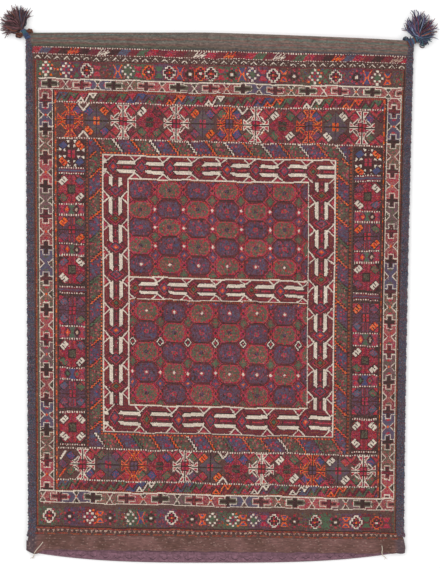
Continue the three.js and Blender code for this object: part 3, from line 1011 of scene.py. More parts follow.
# Hand-spun wool, woven in wrapped stitches that hide the warp: dull and slightly fuzzy, each stitch one
# flat tone, with only low ridges to catch the light. Each 2.2 mm stitch takes its dye a little differently,
# streaks run about 14 mm along the weft, and whole areas fade over some 70 mm.
def wovenWool(name, dyes):
    material, tree = newMaterial(name)
    stitch = addNode(tree, "Attribute", {"attribute_name": "stitch"})
    yarn = addNode(tree, "Attribute", {"attribute_name": "yarn"})
    which = addNode(tree, "Math", {"operation": "MULTIPLY_ADD", 1: 1 / mostDyes, 2: 0.5 / mostDyes},
                    {0: yarn.outputs["Fac"]})
    ramp = addNode(tree, "ValToRGB", {}, {0: which.outputs[0]})
    ramp.color_ramp.interpolation = "CONSTANT"
    setStops(ramp, dyes, [i / mostDyes for i in range(len(dyes))])
    cell = addNode(tree, "VectorMath", {"operation": "SNAP", 1: (cellW, cellH, 1)},
                   {0: stitch.outputs["Vector"]})
    each = addNode(tree, "TexWhiteNoise", {"noise_dimensions": "3D"}, {0: cell.outputs[0]})
    long = addNode(tree, "VectorMath", {"operation": "MULTIPLY", 1: (0.16, 0.9, 1)},
                   {0: stitch.outputs["Vector"]})
    streak = addNode(tree, "TexNoise", {"Scale": 1.0, "Detail": 3.0, "Roughness": 0.6}, {0: long.outputs[0]})
    abrash = addNode(tree, "TexNoise", {"Scale": 0.03, "Detail": 2.0}, {0: stitch.outputs["Vector"]})
    shade = addNode(tree, "MapRange", {"To Min": 0.74, "To Max": 1.26}, {"Value": each.outputs["Value"]})
    streaks = addNode(tree, "MapRange", {"From Min": 0.3, "From Max": 0.7, "To Min": 0.86, "To Max": 1.14},
                      {"Value": streak.outputs["Fac"]})
    washed = addNode(tree, "MapRange", {"From Min": 0.3, "From Max": 0.7, "To Min": 0.9, "To Max": 1.1},
                     {"Value": abrash.outputs["Fac"]})
    both = addNode(tree, "Math", {"operation": "MULTIPLY"}, {0: shade.outputs[0], 1: streaks.outputs[0]})
    all3 = addNode(tree, "Math", {"operation": "MULTIPLY"}, {0: both.outputs[0], 1: washed.outputs[0]})
    lit = addNode(tree, "VectorMath", {"operation": "SCALE"}, {0: ramp.outputs[0], "Scale": all3.outputs[0]})
    split = addNode(tree, "SeparateColor", {}, {0: each.outputs["Color"]})
    hue = addNode(tree, "MapRange", {"To Min": 0.472, "To Max": 0.528}, {"Value": split.outputs[0]})
    depth = addNode(tree, "MapRange", {"To Min": 0.85, "To Max": 1.2}, {"Value": split.outputs[1]})
    tinted = addNode(tree, "HueSaturation", {}, {"Hue": hue.outputs[0], "Saturation": depth.outputs[0],
                                                 "Color": lit.outputs[0]})
    fuzz = addNode(tree, "Mix", {"data_type": "RGBA", 0: 0.03, 7: toLinear("8a6a66", dyeGain)},
                   {6: tinted.outputs[0]})
    rows = addNode(tree, "SeparateXYZ", {}, {0: stitch.outputs["Vector"]})
    ridge = addNode(tree, "Math", {"operation": "MULTIPLY", 1: math.tau / (2 * cellH)},
                    {0: rows.outputs["Y"]})
    wave = addNode(tree, "Math", {"operation": "SINE"}, {0: ridge.outputs[0]})
    grain = addNode(tree, "TexNoise", {"Scale": 0.7, "Detail": 4.0}, {0: stitch.outputs["Vector"]})
    relief = addNode(tree, "Math", {"operation": "MULTIPLY_ADD", 1: 0.35},
                     {0: wave.outputs[0], 2: grain.outputs["Fac"]})
    bump = addNode(tree, "Bump", {"Strength": 0.6, "Distance": 0.0009}, {"Height": relief.outputs[0]})
    surface = addNode(tree, "BsdfPrincipled", {"Roughness": 0.92, "IOR": 1.45, "Sheen Weight": 0.04,
                                                "Sheen Roughness": 0.6, "Specular IOR Level": 0.1},
                      {"Base Color": fuzz.outputs[2], "Normal": bump.outputs[0]})
    addNode(tree, "OutputMaterial", {}, {0: surface.outputs[0]})
    return material


wovenFront = wovenWool("weft wrapped wool", list(yarns.values()))


# The patterned front: one cloth, made in bands that meet edge to edge.
front = {
    "bands": 5, "firstCell": 4, "lastCell": 556, "relief": 0.00032,
    "lift": ("ivory", "orange", "madder", "tan"),
}
rowsEach = cellsLong // front["bands"]
raised = np.isin(weave, [yarnIndex[name] for name in front["lift"]]).astype(float)
raised += 0.5 * chance.random(weave.shape)
padded = np.pad(raised, 1, mode="edge")
atCorner = (padded[:-1, :-1] + padded[1:, :-1] + padded[:-1, 1:] + padded[1:, 1:]) / 4

for band in range(front["bands"]):
    firstRow = band * rowsEach
    acrossCells = front["lastCell"] - front["firstCell"]

    def placeFront(u, v):
        i = np.rint(front["firstCell"] + u * acrossCells).astype(int)
        j = np.rint(firstRow + v * rowsEach).astype(int)
        col, row = i * cellW, patternFrom + j * cellH
        points = frontPoint(col, row)
        points[:, 2] += front["relief"] * atCorner[j, i]
        return points, np.stack([col, row, 0 * col], 1)

    mesh = bentGrid(f"kilim_front_{band + 1}", acrossCells, rowsEach, placeFront)
    mesh.flip_normals()
    part = weave[firstRow:firstRow + rowsEach, front["firstCell"]:front["lastCell"]]
    setAttribute(mesh, "yarn", "FLOAT", "FACE", part)
    piece = finishPiece(mesh, mesh.name, wovenFront, ("kilim_cloth",))
print("front woven")


# The plain striped weave of the fold and the back, down to the hem that shows past the mouth.
# Rows and colours of the stripes on the front's end, at the left and at the right, and those behind.
stripes = {
    "front": ("5d5f55", "6b534b", "5f655f", "6c5d54", "74514a",
              "5e5f57", "6d665d", "6b4d47", "5b5547", "4e4d44"),
    "rows": (0.0, 1.3, 2.6, 4.0, 5.3, 6.6, 7.8, 9.0, 10.2, 11.4),
    "right": ("826862", "6f675c", "7c5852", "60685f", "785f56",
              "6e655e", "7b5953", "60605a", "72594f", "534c4f"),
    "back": ("6b4b45", "4f4f60", "74443f", "5c6050", "6b4b45", "3f3437"),
    "inside": "7d5a66", "over": 12.4, "backOver": 31.0,
}


# Matt wool weft with streaks about 18 mm by 2.4 mm, and stripes whose edges are ragged by a pick or two.
def stripedWool(name):
    material, tree = newMaterial(name)
    stitch = addNode(tree, "Attribute", {"attribute_name": "stitch"})
    at = addNode(tree, "SeparateXYZ", {}, {0: stitch.outputs["Vector"]})
    stretched = addNode(tree, "VectorMath", {"operation": "MULTIPLY", 1: (0.02, 0.1, 1)},
                        {0: stitch.outputs["Vector"]})
    drift = addNode(tree, "TexNoise", {"Scale": 1.0, "Detail": 4.0}, {0: stretched.outputs[0]})
    nearer = addNode(tree, "VectorMath", {"operation": "MULTIPLY", 1: (0.16, 0.55, 1)},
                     {0: stitch.outputs["Vector"]})
    ragged = addNode(tree, "TexNoise", {"Scale": 1.0, "Detail": 4.0, "Roughness": 0.7},
                     {0: nearer.outputs[0]})
    rough = addNode(tree, "Math", {"operation": "MULTIPLY_ADD", 1: 3.2, 2: -1.6}, {0: ragged.outputs["Fac"]})
    wavy = addNode(tree, "Math", {"operation": "MULTIPLY_ADD", 1: 4.0},
                   {0: drift.outputs["Fac"], 2: rough.outputs[0]})
    shifted = addNode(tree, "Math", {"operation": "ADD"}, {0: wavy.outputs[0], 1: at.outputs["Y"]})

    place = addNode(tree, "MapRange", {"From Min": 2.0, "From Max": stripes["over"] + 2.0},
                    {"Value": shifted.outputs[0]})
    left, right = (addNode(tree, "ValToRGB", {}, {0: place.outputs[0]}) for end in ("left", "right"))
    for ramp, colours in ((left, stripes["front"]), (right, stripes["right"])):
        ramp.color_ramp.interpolation = "EASE"
        setStops(ramp, colours, [row / stripes["over"] for row in stripes["rows"]])
    across = addNode(tree, "MapRange",
                     {"From Min": 120.0, "From Max": 260.0, "interpolation_type": "SMOOTHSTEP"},
                     {"Value": at.outputs["X"]})
    top = addNode(tree, "Mix", {"data_type": "RGBA"},
                  {0: across.outputs[0], 6: left.outputs[0], 7: right.outputs[0]})
    under = addNode(tree, "Math", {"operation": "PINGPONG", 1: stripes["backOver"]}, {0: at.outputs["Y"]})
    share = addNode(tree, "Math", {"operation": "DIVIDE", 1: stripes["backOver"]}, {0: under.outputs[0]})
    back = addNode(tree, "ValToRGB", {}, {0: share.outputs[0]})
    back.color_ramp.interpolation = "EASE"
    setStops(back, stripes["back"], [i / 6 for i in range(6)])
    behind = addNode(tree, "Math", {"operation": "LESS_THAN", 1: -1.5}, {0: at.outputs["Y"]})
    whole = addNode(tree, "Mix", {"data_type": "RGBA"},
                    {0: behind.outputs[0], 6: top.outputs[2], 7: back.outputs[0]})
    mouth = addNode(tree, "Math", {"operation": "LESS_THAN", 1: -470.0}, {0: at.outputs["Y"]})
    cloth = addNode(tree, "Mix", {"data_type": "RGBA", 7: toLinear(stripes["inside"], dyeGain)},
                    {0: mouth.outputs[0], 6: whole.outputs[2]})
    long = addNode(tree, "VectorMath", {"operation": "MULTIPLY", 1: (0.12, 0.9, 1)},
                   {0: stitch.outputs["Vector"]})
    streak = addNode(tree, "TexNoise", {"Scale": 1.0, "Detail": 4.0, "Roughness": 0.65}, {0: long.outputs[0]})
    tone = addNode(tree, "MapRange", {"From Min": 0.3, "From Max": 0.7, "To Min": 0.62, "To Max": 1.38},
                   {"Value": streak.outputs["Fac"]})
    cell = addNode(tree, "VectorMath", {"operation": "SNAP", 1: (1.6, 0.8, 1)}, {0: stitch.outputs["Vector"]})
    each = addNode(tree, "TexWhiteNoise", {"noise_dimensions": "3D"}, {0: cell.outputs[0]})
    fleck = addNode(tree, "MapRange", {"To Min": 0.78, "To Max": 1.22}, {"Value": each.outputs["Value"]})
    both = addNode(tree, "Math", {"operation": "MULTIPLY"}, {0: tone.outputs[0], 1: fleck.outputs[0]})
    lit = addNode(tree, "VectorMath", {"operation": "SCALE"}, {0: cloth.outputs[2], "Scale": both.outputs[0]})
    ridge = addNode(tree, "Math", {"operation": "MULTIPLY", 1: math.tau / 1.6}, {0: at.outputs["Y"]})
    wave = addNode(tree, "Math", {"operation": "SINE"}, {0: ridge.outputs[0]})
    relief = addNode(tree, "Math", {"operation": "MULTIPLY_ADD", 1: 0.3},
                     {0: wave.outputs[0], 2: streak.outputs["Fac"]})
    bump = addNode(tree, "Bump", {"Strength": 0.6, "Distance": 0.001}, {"Height": relief.outputs[0]})
    surface = addNode(tree, "BsdfPrincipled", {"Roughness": 0.93, "Sheen Weight": 0.1, "Sheen Roughness": 0.6,
                                                "Specular IOR Level": 0.2},
                      {"Base Color": lit.outputs[0], "Normal": bump.outputs[0]})
    addNode(tree, "OutputMaterial", {}, {0: surface.outputs[0]})
    return material


stripedWeave = stripedWool("plain striped wool")
fold = {
    "frontRows": 10, "arcRows": 14, "backRows": 44, "hemRows": 8, "across": 110,
    "thick": 0.0021, "hemTurn": 0.024,
}
rowsOfFold = fold["frontRows"] + fold["arcRows"] + fold["backRows"] + fold["hemRows"]


def placeFold(u, v):
    frontRows, arcRows, backRows, hemRows = (fold[k] for k in ("frontRows", "arcRows", "backRows", "hemRows"))
    step = v * rowsOfFold
    col = mix(*sack["plainCols"], u)
    w = col / draftWide
    radius = sack["foldRadius"]
    arcTop = foldLine(w) - radius
    # the front part, from under the first woven row up to the bend
    row = mix(12.3, radius / unit, np.clip(step / frontRows, 0, 1))
    frontY = sack["foldY"] - unit * (row + rowDrift(col, row))
    backY = mix(arcTop, backMouth(w) + 0.0024, np.clip((step - frontRows - arcRows) / backRows, 0, 1))
    turn = np.clip((step - frontRows) / arcRows, 0, 1) * math.pi
    y = np.where(step <= frontRows + arcRows, arcTop + radius * np.sin(turn), backY)
    y = np.where(step <= frontRows, frontY, y)
    tuck = 0.018 * smooth(0, 0.03, sack["bindingY"] - 0.001 - y)
    x = mix(leftEdge(y) + tuck, rightEdge(y) - tuck, w)
    inward = np.minimum(x - leftEdge(y), rightEdge(y) - x)
    low = 0.0027 * (1 - smooth(0.02, 0.05, inward)) * smooth(-0.545, -0.53, y) + fold["thick"] + 0.0002
    high = frontHeight(x, y) - 0.0005 * (step < frontRows)
    z = np.where(step <= frontRows, high, mix(high, low, (1 - np.cos(turn)) / 2))
    # the hem is turned in and lies on the back
    hem = np.clip((step - frontRows - arcRows - backRows) / hemRows, 0, 1)
    roll = np.clip(hem * 2, 0, 1) * math.pi
    turnedIn = fold["hemTurn"] * np.clip(hem * 2 - 1, 0, 1)
    y = np.where(hem > 0, backMouth(w) + 0.0024 - 0.0024 * np.sin(roll) + turnedIn, y)
    z = np.where(hem > 0, low + 0.0008 * (1 - np.cos(roll)), z)
    travel = np.where(step <= frontRows, row, np.where(turn < math.pi / 2, 1, -1) * (foldLine(w) - y) / unit)
    travel = np.where(hem > 0, -520.0 - 10 * hem, travel)
    return np.stack([x, y, z], 1), np.stack([col, travel, 0 * col], 1)


foldMesh = bentGrid("kilim_fold_and_back", fold["across"], rowsOfFold, placeFold)
foldPiece = finishPiece(foldMesh, "kilim_fold_and_back", stripedWeave)
thicken = foldPiece.modifiers.new("thickness", "SOLIDIFY")
thicken.thickness = fold["thick"]
thicken.offset = 1


# The front's plain end is undyed brown wool, heathered: pale flecks, and patches some 60 mm wide.
def brownWool(name):
    material, tree = newMaterial(name)
    stitch = addNode(tree, "Attribute", {"attribute_name": "stitch"})
    long = addNode(tree, "VectorMath", {"operation": "MULTIPLY", 1: (0.16, 0.8, 1)},
                   {0: stitch.outputs["Vector"]})
    streak = addNode(tree, "TexNoise", {"Scale": 1.0, "Detail": 4.0, "Roughness": 0.65}, {0: long.outputs[0]})
    broad = addNode(tree, "TexNoise", {"Scale": 0.035, "Detail": 3.0}, {0: stitch.outputs["Vector"]})
    tone = addNode(tree, "ValToRGB", {}, {0: broad.outputs["Fac"]})
    stops = tone.color_ramp.elements
    stops[0].position, stops[0].color = 0.38, toLinear("5f4139", dyeGain)
    stops[1].position, stops[1].color = 0.62, toLinear("7d5854", dyeGain)
    cell = addNode(tree, "VectorMath", {"operation": "SNAP", 1: (1.4, 0.9, 1)}, {0: stitch.outputs["Vector"]})
    each = addNode(tree, "TexWhiteNoise", {"noise_dimensions": "3D"}, {0: cell.outputs[0]})
    fleck = addNode(tree, "MapRange", {"From Min": 0.9, "From Max": 1.0, "To Min": 0.0, "To Max": 0.55},
                    {"Value": each.outputs["Value"]})
    shade = addNode(tree, "MapRange", {"From Min": 0.32, "From Max": 0.68, "To Min": 0.6, "To Max": 1.36},
                    {"Value": streak.outputs["Fac"]})
    # the two ends are sewn over with the grey wool of the bindings
    column = addNode(tree, "SeparateXYZ", {}, {0: stitch.outputs["Vector"]})
    fromMiddle = addNode(tree, "Math", {"operation": "SUBTRACT", 1: draftWide / 2}, {0: column.outputs["X"]})
    outward = addNode(tree, "Math", {"operation": "ABSOLUTE"}, {0: fromMiddle.outputs[0]})
    sewn = addNode(tree, "MapRange", {"From Min": 179.0, "From Max": 183.5, "To Max": 0.8},
                   {"Value": outward.outputs[0]})
    ended = addNode(tree, "Mix", {"data_type": "RGBA", 7: toLinear("4f434a", dyeGain)},
                    {0: sewn.outputs[0], 6: tone.outputs[0]})
    lit = addNode(tree, "VectorMath", {"operation": "SCALE"},
                  {0: ended.outputs[2], "Scale": shade.outputs[0]})
    flecked = addNode(tree, "Mix", {"data_type": "RGBA", 7: toLinear("a98c82", dyeGain)},
                      {0: fleck.outputs[0], 6: lit.outputs[0]})
    bump = addNode(tree, "Bump", {"Strength": 0.7, "Distance": 0.001}, {"Height": streak.outputs["Fac"]})
    surface = addNode(tree, "BsdfPrincipled", {"Roughness": 0.93, "Sheen Weight": 0.1, "Sheen Roughness": 0.6,
                                                "Specular IOR Level": 0.2},
                      {"Base Color": flecked.outputs[2], "Normal": bump.outputs[0]})
    addNode(tree, "OutputMaterial", {}, {0: surface.outputs[0]})
    return material


hem = {"across": 180, "flatRows": 12, "rollRows": 6, "underRows": 6, "roll": 0.0017, "under": 0.02}
rowsOfHem = hem["flatRows"] + hem["rollRows"] + hem["underRows"]


def placeHem(u, v):
    step = v * rowsOfHem
    col = mix(*sack["plainCols"], u)
    w = col / draftWide
    row = mix(500.2, draftLong, np.clip(step / hem["flatRows"], 0, 1))
    points = frontPoint(col, row)
    wobble = 0.0007 * np.sin(w * 61 + 1) + 0.0005 * np.sin(w * 143) + 0.0004 * np.sin(w * 271 + 2)
    points[:, 1] += wobble * smooth(508, 515, row)
    roll = np.clip((step - hem["flatRows"]) / hem["rollRows"], 0, 1) * math.pi
    under = np.clip((step - hem["flatRows"] - hem["rollRows"]) / hem["underRows"], 0, 1)
    points[:, 1] += hem["under"] * under - hem["roll"] * np.sin(roll)
    points[:, 2] -= hem["roll"] * (1 - np.cos(roll)) + 0.0004 * (1 - smooth(500.2, 503, row))
    points[:, 2] += 0.0006 * smooth(507, 510, row) * (1 - smooth(0, 1, roll))
    return points, np.stack([col, row + 3 * roll + 8 * under, 0 * col], 1)


hemMesh = bentGrid("kilim_front_hem", hem["across"], rowsOfHem, placeHem)
hemMesh.flip_normals()
plainBrown = brownWool("plain brown wool")
hemPiece = finishPiece(hemMesh, "kilim_front_hem", plainBrown)
print("fold, back and hem made")


# Spun wool yarn: plied every 2.2 mm, matt, with loose fibre. The dye is patchy over 6 mm and over 45 mm, and
# flecks of another wool are about 2.4 mm.
def spunYarn(name, dyes, varied=0.25, flecks=None):
    material, tree = newMaterial(name)
    dye = addNode(tree, "Attribute", {"attribute_name": "dye"})
    along = addNode(tree, "Attribute", {"attribute_name": "along"})
    which = addNode(tree, "Math", {"operation": "MULTIPLY_ADD", 1: 1 / mostDyes, 2: 0.5 / mostDyes},
                    {0: dye.outputs["Fac"]})
    ramp = addNode(tree, "ValToRGB", {}, {0: which.outputs[0]})
    ramp.color_ramp.interpolation = "CONSTANT"
    setStops(ramp, dyes, [i / mostDyes for i in range(len(dyes))])
    coords = addNode(tree, "TexCoord")
    patch = addNode(tree, "TexNoise", {"Scale": 160.0, "Detail": 3.0}, {0: coords.outputs["Object"]})
    broad = addNode(tree, "TexNoise", {"Scale": 22.0, "Detail": 2.0}, {0: coords.outputs["Object"]})
    tone = addNode(tree, "MapRange",
                   {"From Min": 0.3, "From Max": 0.7, "To Min": 1 - varied, "To Max": 1 + varied},
                   {"Value": patch.outputs["Fac"]})
    worn = addNode(tree, "MapRange", {"From Min": 0.3, "From Max": 0.7, "To Min": 0.88, "To Max": 1.12},
                   {"Value": broad.outputs["Fac"]})
    both = addNode(tree, "Math", {"operation": "MULTIPLY"}, {0: tone.outputs[0], 1: worn.outputs[0]})
    lit = addNode(tree, "VectorMath", {"operation": "SCALE"}, {0: ramp.outputs[0], "Scale": both.outputs[0]})
    colour = lit.outputs[0]
    for k, fleck in enumerate(flecks or ()):
        shifted = addNode(tree, "VectorMath", {"operation": "ADD", 1: (3.0 * k + 1.0, 7.0, 0.0)},
                          {0: coords.outputs["Object"]})
        spots = addNode(tree, "TexNoise", {"Scale": 420.0, "Detail": 2.0}, {0: shifted.outputs[0]})
        where = addNode(tree, "MapRange", {"From Min": 0.56, "From Max": 0.6, "To Max": 0.85},
                        {"Value": spots.outputs["Fac"]})
        colour = addNode(tree, "Mix", {"data_type": "RGBA", 7: toLinear(fleck, dyeGain)},
                         {0: where.outputs[0], 6: colour}).outputs[2]
    ply = addNode(tree, "Math", {"operation": "MULTIPLY", 1: math.tau / 0.0022}, {0: along.outputs["Fac"]})
    twist = addNode(tree, "Math", {"operation": "SINE"}, {0: ply.outputs[0]})
    relief = addNode(tree, "Math", {"operation": "MULTIPLY_ADD", 1: 0.5},
                     {0: twist.outputs[0], 2: patch.outputs["Fac"]})
    bump = addNode(tree, "Bump", {"Strength": 0.5, "Distance": 0.0004}, {"Height": relief.outputs[0]})
    surface = addNode(tree, "BsdfPrincipled", {"Roughness": 0.9, "Sheen Weight": 0.15, "Sheen Roughness": 0.5,
                                                "Specular IOR Level": 0.2},
                      {"Base Color": colour, "Normal": bump.outputs[0]})
    addNode(tree, "OutputMaterial", {}, {0: surface.outputs[0]})
    return material


# Side bindings: one yarn wound over both cut edges, each turn drawn into a shallow arc.
binding = {
    "pitch": 0.0033, "yarn": 0.0018, "high": 0.0124, "wide": (0.0208, 0.0172), "perTurn": 10, "arc": 0.0022,
    "dyes": ("40404a", "4e454a", "453e45", "414452", "39343a", "54454b", "3a3d49", "563e46"),
}


def windBinding(side):
    yBottom, yTop = sack["bindingY"], float(foldLine(np.array(0.0 if side < 0 else 1.0))) - 0.001
    turns = int((yTop - yBottom) / binding["pitch"])
    t = np.arange(turns * binding["perTurn"] + 1) / binding["perTurn"]
    angle = t * 2 * math.pi
    y = yBottom + 0.001 + (yTop - yBottom - 0.002) * t / turns
    inset = binding["yarn"]
    half = mix(*binding["wide"], alongSack(y)) / 2 - inset
    middle = (leftEdge(y) if side < 0 else rightEdge(y)) - side * (half + inset)
    middle = middle + side * 0.8 * sideFlare(y, side)
    power = 0.62
    cosine, sine = np.cos(angle), np.sin(angle)
    x = middle + half * np.sign(cosine) * np.abs(cosine) ** power
    z = binding["high"] / 2 + (binding["high"] / 2 - inset) * np.sign(sine) * np.abs(sine) ** power
    x = x + 0.0005 * np.sin(y * 240 + side) + 0.0004 * np.sin(y * 611)
    y = y + binding["arc"] * (np.abs(cosine) ** 1.5) * np.where(sine > 0, 1, -1) * 0.8
    points = np.stack([x, np.clip(y, yBottom + 0.0005, yTop - 0.0005), z], 1)
    rng = np.random.default_rng(7 + side)
    perTurnDye = []
    while len(perTurnDye) < turns + 2:
        run = int(rng.integers(1, 4))
        perTurnDye += [int(rng.choice(8, p=(0.24, 0.2, 0.14, 0.14, 0.1, 0.08, 0.06, 0.04)))] * run
    atTurn = (np.arange(len(t) + 1) / binding["perTurn"] + 0.5).astype(int)
    dye = np.array(perTurnDye)[np.minimum(atTurn, turns)]
    radii = inset * (1 + 0.1 * np.sin(y * 900))
    return points, radii, dye


bindingYarn = spunYarn("wound binding wool", binding["dyes"], 0.3, ("416080", "7d3d4b", "7a7276"))
for label, side in (("left", -1), ("right", 1)):
    mesh = yarnMesh(f"{label}_side_binding_wraps", [windBinding(side)], around=5)
    finishPiece(mesh, f"{label}_binding_wraps", bindingYarn, (f"{label}_side_binding",))
print("bindings wound")


# Tassels: cut ends of yarn fanned from a bound neck. Angles in degrees from the mouth's line.
tassel = {
    "strands": 210, "thick": 0.00105, "steps": 13, "neck": 0.0042, "wraps": 9, "perWrap": 14,
    "left": {"at": (-0.4158, 0.573), "axis": 124, "bound": 0.022, "middle": 134, "fan": 57, "peak": 128,
             "long": 0.057, "drop": 0.22, "wrap": 0.0056},
    "right": {"at": (0.4215, 0.5595), "axis": 32, "bound": 0.0235, "middle": 47, "fan": 92, "peak": 78,
              "long": 0.061, "drop": 0.56, "wrap": 0.0074},
}


def neckLine(shape):
    axis = np.array([math.cos(math.radians(shape["axis"])), math.sin(math.radians(shape["axis"]))])
    return axis, np.array([-axis[1], axis[0]])


def tasselStrands(shape, dyeOf, seed):
    rng = np.random.default_rng(seed)
    axis, cross = neckLine(shape)
    strands = []
    for k in range(tassel["strands"]):
        angle = shape["middle"] + rng.uniform(-1, 1) * shape["fan"]
        lift = rng.uniform(-1, 1)
        reach = shape["long"] * (1 - shape["drop"] * (abs(angle - shape["peak"]) / shape["fan"]) ** 1.5)
        reach *= rng.uniform(0.7, 1.0) if rng.random() < 0.9 else rng.uniform(1.0, 1.12)
        s = np.linspace(0, 1, tassel["steps"])
        loose = np.clip((s - 0.18) / 0.82, 0, 1)
        held = shape["bound"] * np.clip(s / 0.18, 0, 1)
        start = rng.uniform(-1, 1) * tassel["neck"] * 0.8
        bend = smooth(0, 0.3, loose)
        spread = math.radians(angle - shape["axis"]) * bend
        sweep = rng.normal(0, 0.16) * loose ** 2
        curl = rng.normal(0, 0.0046) * np.sin(loose * rng.uniform(2.5, 5.5)) * loose
        forward = held + reach * loose * np.cos(spread + sweep) - curl * np.sin(spread)
        sideways = start * (1 - 0.3 * bend) + reach * loose * np.sin(spread + sweep) + curl * np.cos(spread)
        arch = 0.0052 * np.sin(loose * math.pi) * (0.4 + 0.6 * lift)
        height = 0.0078 + lift * 0.0036 * (1 + bend) + arch - 0.0034 * loose ** 2 * (lift < 0.3)
        height = np.maximum(height, tassel["thick"] + 0.0003)
        place = np.array(shape["at"])[None, :] + forward[:, None] * axis + sideways[:, None] * cross
        taper = tassel["thick"] * rng.uniform(0.6, 1.25) * (1 - 0.45 * np.clip((s - 0.75) / 0.25, 0, 1))
        strands.append((np.column_stack([place, height]), taper, dyeOf(angle, rng)))
    return strands


# Short ends that turn back on themselves beside the neck.
def looseLoops(middle, size, count, dyes, seed):
    rng = np.random.default_rng(seed)
    loops = []
    for k in range(count):
        t = np.linspace(0, rng.uniform(2.2, 4.6), 12)
        around = rng.uniform(0, 6.28)
        radius = size * rng.uniform(0.15, 0.9)
        x = middle[0] + radius * np.cos(t + around) + rng.normal(0, size * 0.3)
        y = middle[1] + radius * np.sin(t + around) * rng.uniform(0.5, 1.0) + rng.normal(0, size * 0.2)
        z = 0.006 + rng.uniform(-0.003, 0.0052) + 0.0014 * np.sin(t * 2)
        loops.append((np.column_stack([x, y, z]), tassel["thick"] * 1.1, int(rng.choice(dyes))))
    return loops


def leftDye(angle, rng):
    if angle < 108 and rng.random() < 0.42:
        return int(rng.choice([4, 5, 11, 1]))
    if rng.random() < 0.05:
        return 7
    return int(rng.choice([0, 1, 2, 3, 13], p=(0.32, 0.22, 0.2, 0.1, 0.16)))


def rightDye(angle, rng):
    if 16 < angle < 32 and rng.random() < 0.62:
        return int(rng.choice([7, 8]))
    if 32 < angle < 48 and rng.random() < 0.5:
        return int(rng.choice([9, 3]))
    if angle > 66 and rng.random() < 0.42:
        return int(rng.choice([3, 9, 12]))
    if angle < 16 and rng.random() < 0.5:
        return int(rng.choice([6, 10, 4]))
    # dye 14, the pale steel blue, is a painted highlight: pale strands stand in for glints on the yarn
    return int(rng.choice([4, 5, 11, 12, 14, 0], p=(0.26, 0.22, 0.18, 0.12, 0.12, 0.1)))


# 7e8aa6 is a painted highlight: pale strands stand in for glints on the yarn
tuftDyes = ("5c4042", "482e31", "6d4c50", "7e5056", "4b5670", "3a4358", "46606a", "7c4632",
            "a85c34", "7c3547", "36686e", "2f3144", "675a80", "331f22", "7e8aa6", "5e3428")
tuftWool = spunYarn("cut tassel wool", tuftDyes, 0.38)
neckWool = spunYarn("neck wrap wool", ("3f6473", "435377", "343d56", "6c3f31", "53404a"), 0.3)
for label, side, dyeOf in (("left", -1, leftDye), ("right", 1, rightDye)):
    shape = tassel[label]
    strands = tasselStrands(shape, dyeOf, 21 + side)
    if side < 0:
        strands += looseLoops((-0.4150, 0.5865), 0.0075, 26, (7, 7, 0, 15), 3)
        strands += looseLoops((-0.4370, 0.5790), 0.0065, 14, (7, 1, 0), 4)
    else:
        strands += looseLoops((0.4180, 0.5700), 0.0065, 16, (11, 6, 7, 4), 5)
        strands += looseLoops((0.4545, 0.5610), 0.0080, 14, (11, 0, 6), 6)
    mesh = yarnMesh(f"{label}_tassel_strands", strands, around=5)
    finishPiece(mesh, f"{label}_tassel_strands", tuftWool,
                (f"{label}_tassel_tuft",))
    # the yarn that binds the neck
    axis, cross = neckLine(shape)
    turns = tassel["wraps"]
    t = np.linspace(0, 1, turns * tassel["perWrap"] + 1)
    angle = t * turns * 2 * math.pi
    run = -0.001 + (shape["bound"] + 0.001) * t + 0.0016 * np.cos(angle)
    wide = shape["wrap"] * (1 - 0.25 * t + 0.12 * np.sin(t * 17 + side))
    plan = np.array(shape["at"])[None, :] + run[:, None] * axis + (wide * np.cos(angle))[:, None] * cross
    coil = np.column_stack([plan, 0.0078 + 0.006 * np.sin(angle)])
    ring = np.minimum((np.arange(len(t) + 1) / tassel["perWrap"]).astype(int), turns)
    dye = np.array((1, 1, 2, 1, 1, 0, 0, 0, 1, 2) if side < 0 else (3, 1, 2, 4, 1, 0, 3, 2, 0, 1))[ring]
    wrapMesh = yarnMesh(f"{label}_neck_wrap", [(coil, 0.0015, dye)], around=6)
    finishPiece(wrapMesh, f"{label}_neck_wrap", neckWool, (f"{label}_tassel_wrap",))
print("tassels made")


# The running stitch that holds the back's turned hem.
hemStitch = {"pitch": 0.026, "deep": 0.009, "inset": 0.004, "from": -0.35, "to": 0.32, "yarn": 0.0016}


def stitchLine():
    points = []
    for i, x in enumerate(np.arange(hemStitch["from"], hemStitch["to"] + 0.001, hemStitch["pitch"] / 2)):
        w = (x + 0.417) / 0.83
        y = float(backMouth(np.array(w))) + hemStitch["inset"] + (i % 2) * hemStitch["deep"]
        points.append((x, y, 0.0058 - 0.0008 * (i % 2)))
    points = np.array(points)
    fine = np.linspace(0, len(points) - 1, len(points) * 4)
    return np.column_stack([np.interp(fine, np.arange(len(points)), points[:, k]) for k in range(3)])


stitchWool = spunYarn("hem stitching wool", ("3f2b36", "56404e"), 0.3)
mesh = yarnMesh("hem_stitches", [(stitchLine(), hemStitch["yarn"] / 2, 0)], around=6)
finishPiece(mesh, "hem_stitches", stitchWool, ("back_hem_stitching",))

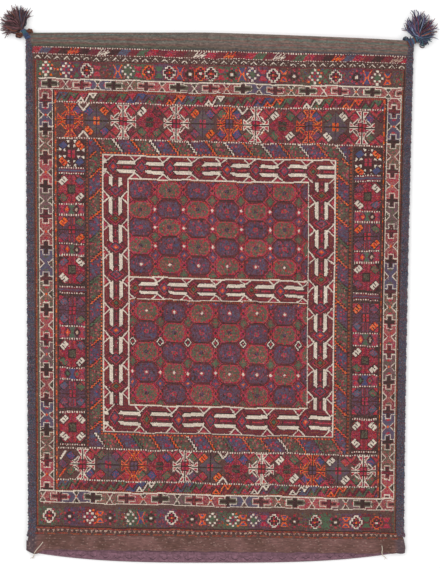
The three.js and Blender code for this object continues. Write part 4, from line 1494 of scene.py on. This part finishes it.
# A few turns of undyed thread through the hems at each corner of the mouth, x and distance from the mouth.
tackRoutes = {
    "left": [(-0.383, 0.02), (-0.390, 0.011), (-0.397, 0.003), (-0.402, -0.004), (-0.405, -0.014)],
    "right": [(0.363, 0.012), (0.364, 0.004), (0.363, -0.003), (0.364, -0.009), (0.371, -0.015)],
}
tackWool = spunYarn("undyed cotton thread", ("cdbfae", "e0d4c8"), 0.12)
for label, route in tackRoutes.items():
    route = np.array(route)
    fine = np.linspace(0, len(route) - 1, 22)
    x = np.interp(fine, np.arange(len(route)), route[:, 0])
    y = sack["mouthY"] + np.interp(fine, np.arange(len(route)), route[:, 1])
    top = frontHeight(x, np.maximum(y, sack["mouthY"])) + 0.0012
    z = top - smooth(-0.001, -0.016, y - sack["mouthY"]) * (0.006 if label == "left" else 0.004)
    thread = [(np.column_stack([x, y, z]), 0.0009, 0)]
    rng = np.random.default_rng(5 if label == "left" else 6)
    for k in range(7 if label == "left" else 3):
        s = np.linspace(0, 1, 6)[:, None]
        away = np.array([rng.normal(-0.001, 0.003), -rng.uniform(0.002, 0.006), -0.001])
        frayed = np.array([x[-1], y[-1], z[-1]]) + s * away + s * s * rng.normal(0, 0.0012, 3) * (1, 1, 0)
        thread.append((frayed, 0.00045, 1))
    mesh = yarnMesh(f"{label}_tack", thread, around=6)
    finishPiece(mesh, f"{label}_tack", tackWool, (f"{label}_mouth_tack",))
print("threads made")


# Matt white board: no gloss, hardly any grain.
def paleFloor():
    material, tree = newMaterial("matt white board")
    coords = addNode(tree, "TexCoord")
    grain = addNode(tree, "TexNoise", {"Scale": 3.0}, {0: coords.outputs["Object"]})
    tone = addNode(tree, "Mix", {"data_type": "RGBA", 6: (0.93, 0.93, 0.93, 1), 7: (0.95, 0.95, 0.95, 1)},
                   {0: grain.outputs["Fac"]})
    surface = addNode(tree, "BsdfPrincipled", {"Roughness": 0.9, "Specular IOR Level": 0.1},
                      {"Base Color": tone.outputs[2]})
    addNode(tree, "OutputMaterial", {}, {0: surface.outputs[0]})
    return material


bm = bmesh.new()
bmesh.ops.create_grid(bm, x_segments=1, y_segments=1, size=6)
floorMesh = bpy.data.meshes.new("floor")
bm.to_mesh(floorMesh)
bm.free()
floorMesh.materials.append(paleFloor())
floor = bpy.data.objects.new("floor", floorMesh)
scene.collection.objects.link(floor)

lights = {
    "soft overhead": {"at": (-0.9, 0.9, 2.6), "size": 2.4, "power": 34.0},
    "low fill": {"at": (1.6, -1.2, 1.8), "size": 2.0, "power": 9.0},
}
for name, light in lights.items():
    lamp = bpy.data.lights.new(name, "AREA")
    lamp.shape = "SQUARE"
    lamp.size = light["size"]
    lamp.energy = light["power"]
    lampObject = bpy.data.objects.new(name, lamp)
    lampObject.location = light["at"]
    lampObject.rotation_euler = (Vector(light["at"]) * -1).to_track_quat("-Z", "Y").to_euler()
    scene.collection.objects.link(lampObject)

world = bpy.data.worlds.new("white studio")
world.use_nodes = True
world.node_tree.nodes["Background"].inputs["Color"].default_value = (1, 1, 1, 1)
world.node_tree.nodes["Background"].inputs["Strength"].default_value = 0.85
scene.world = world
scene.view_settings.view_transform = "Standard"
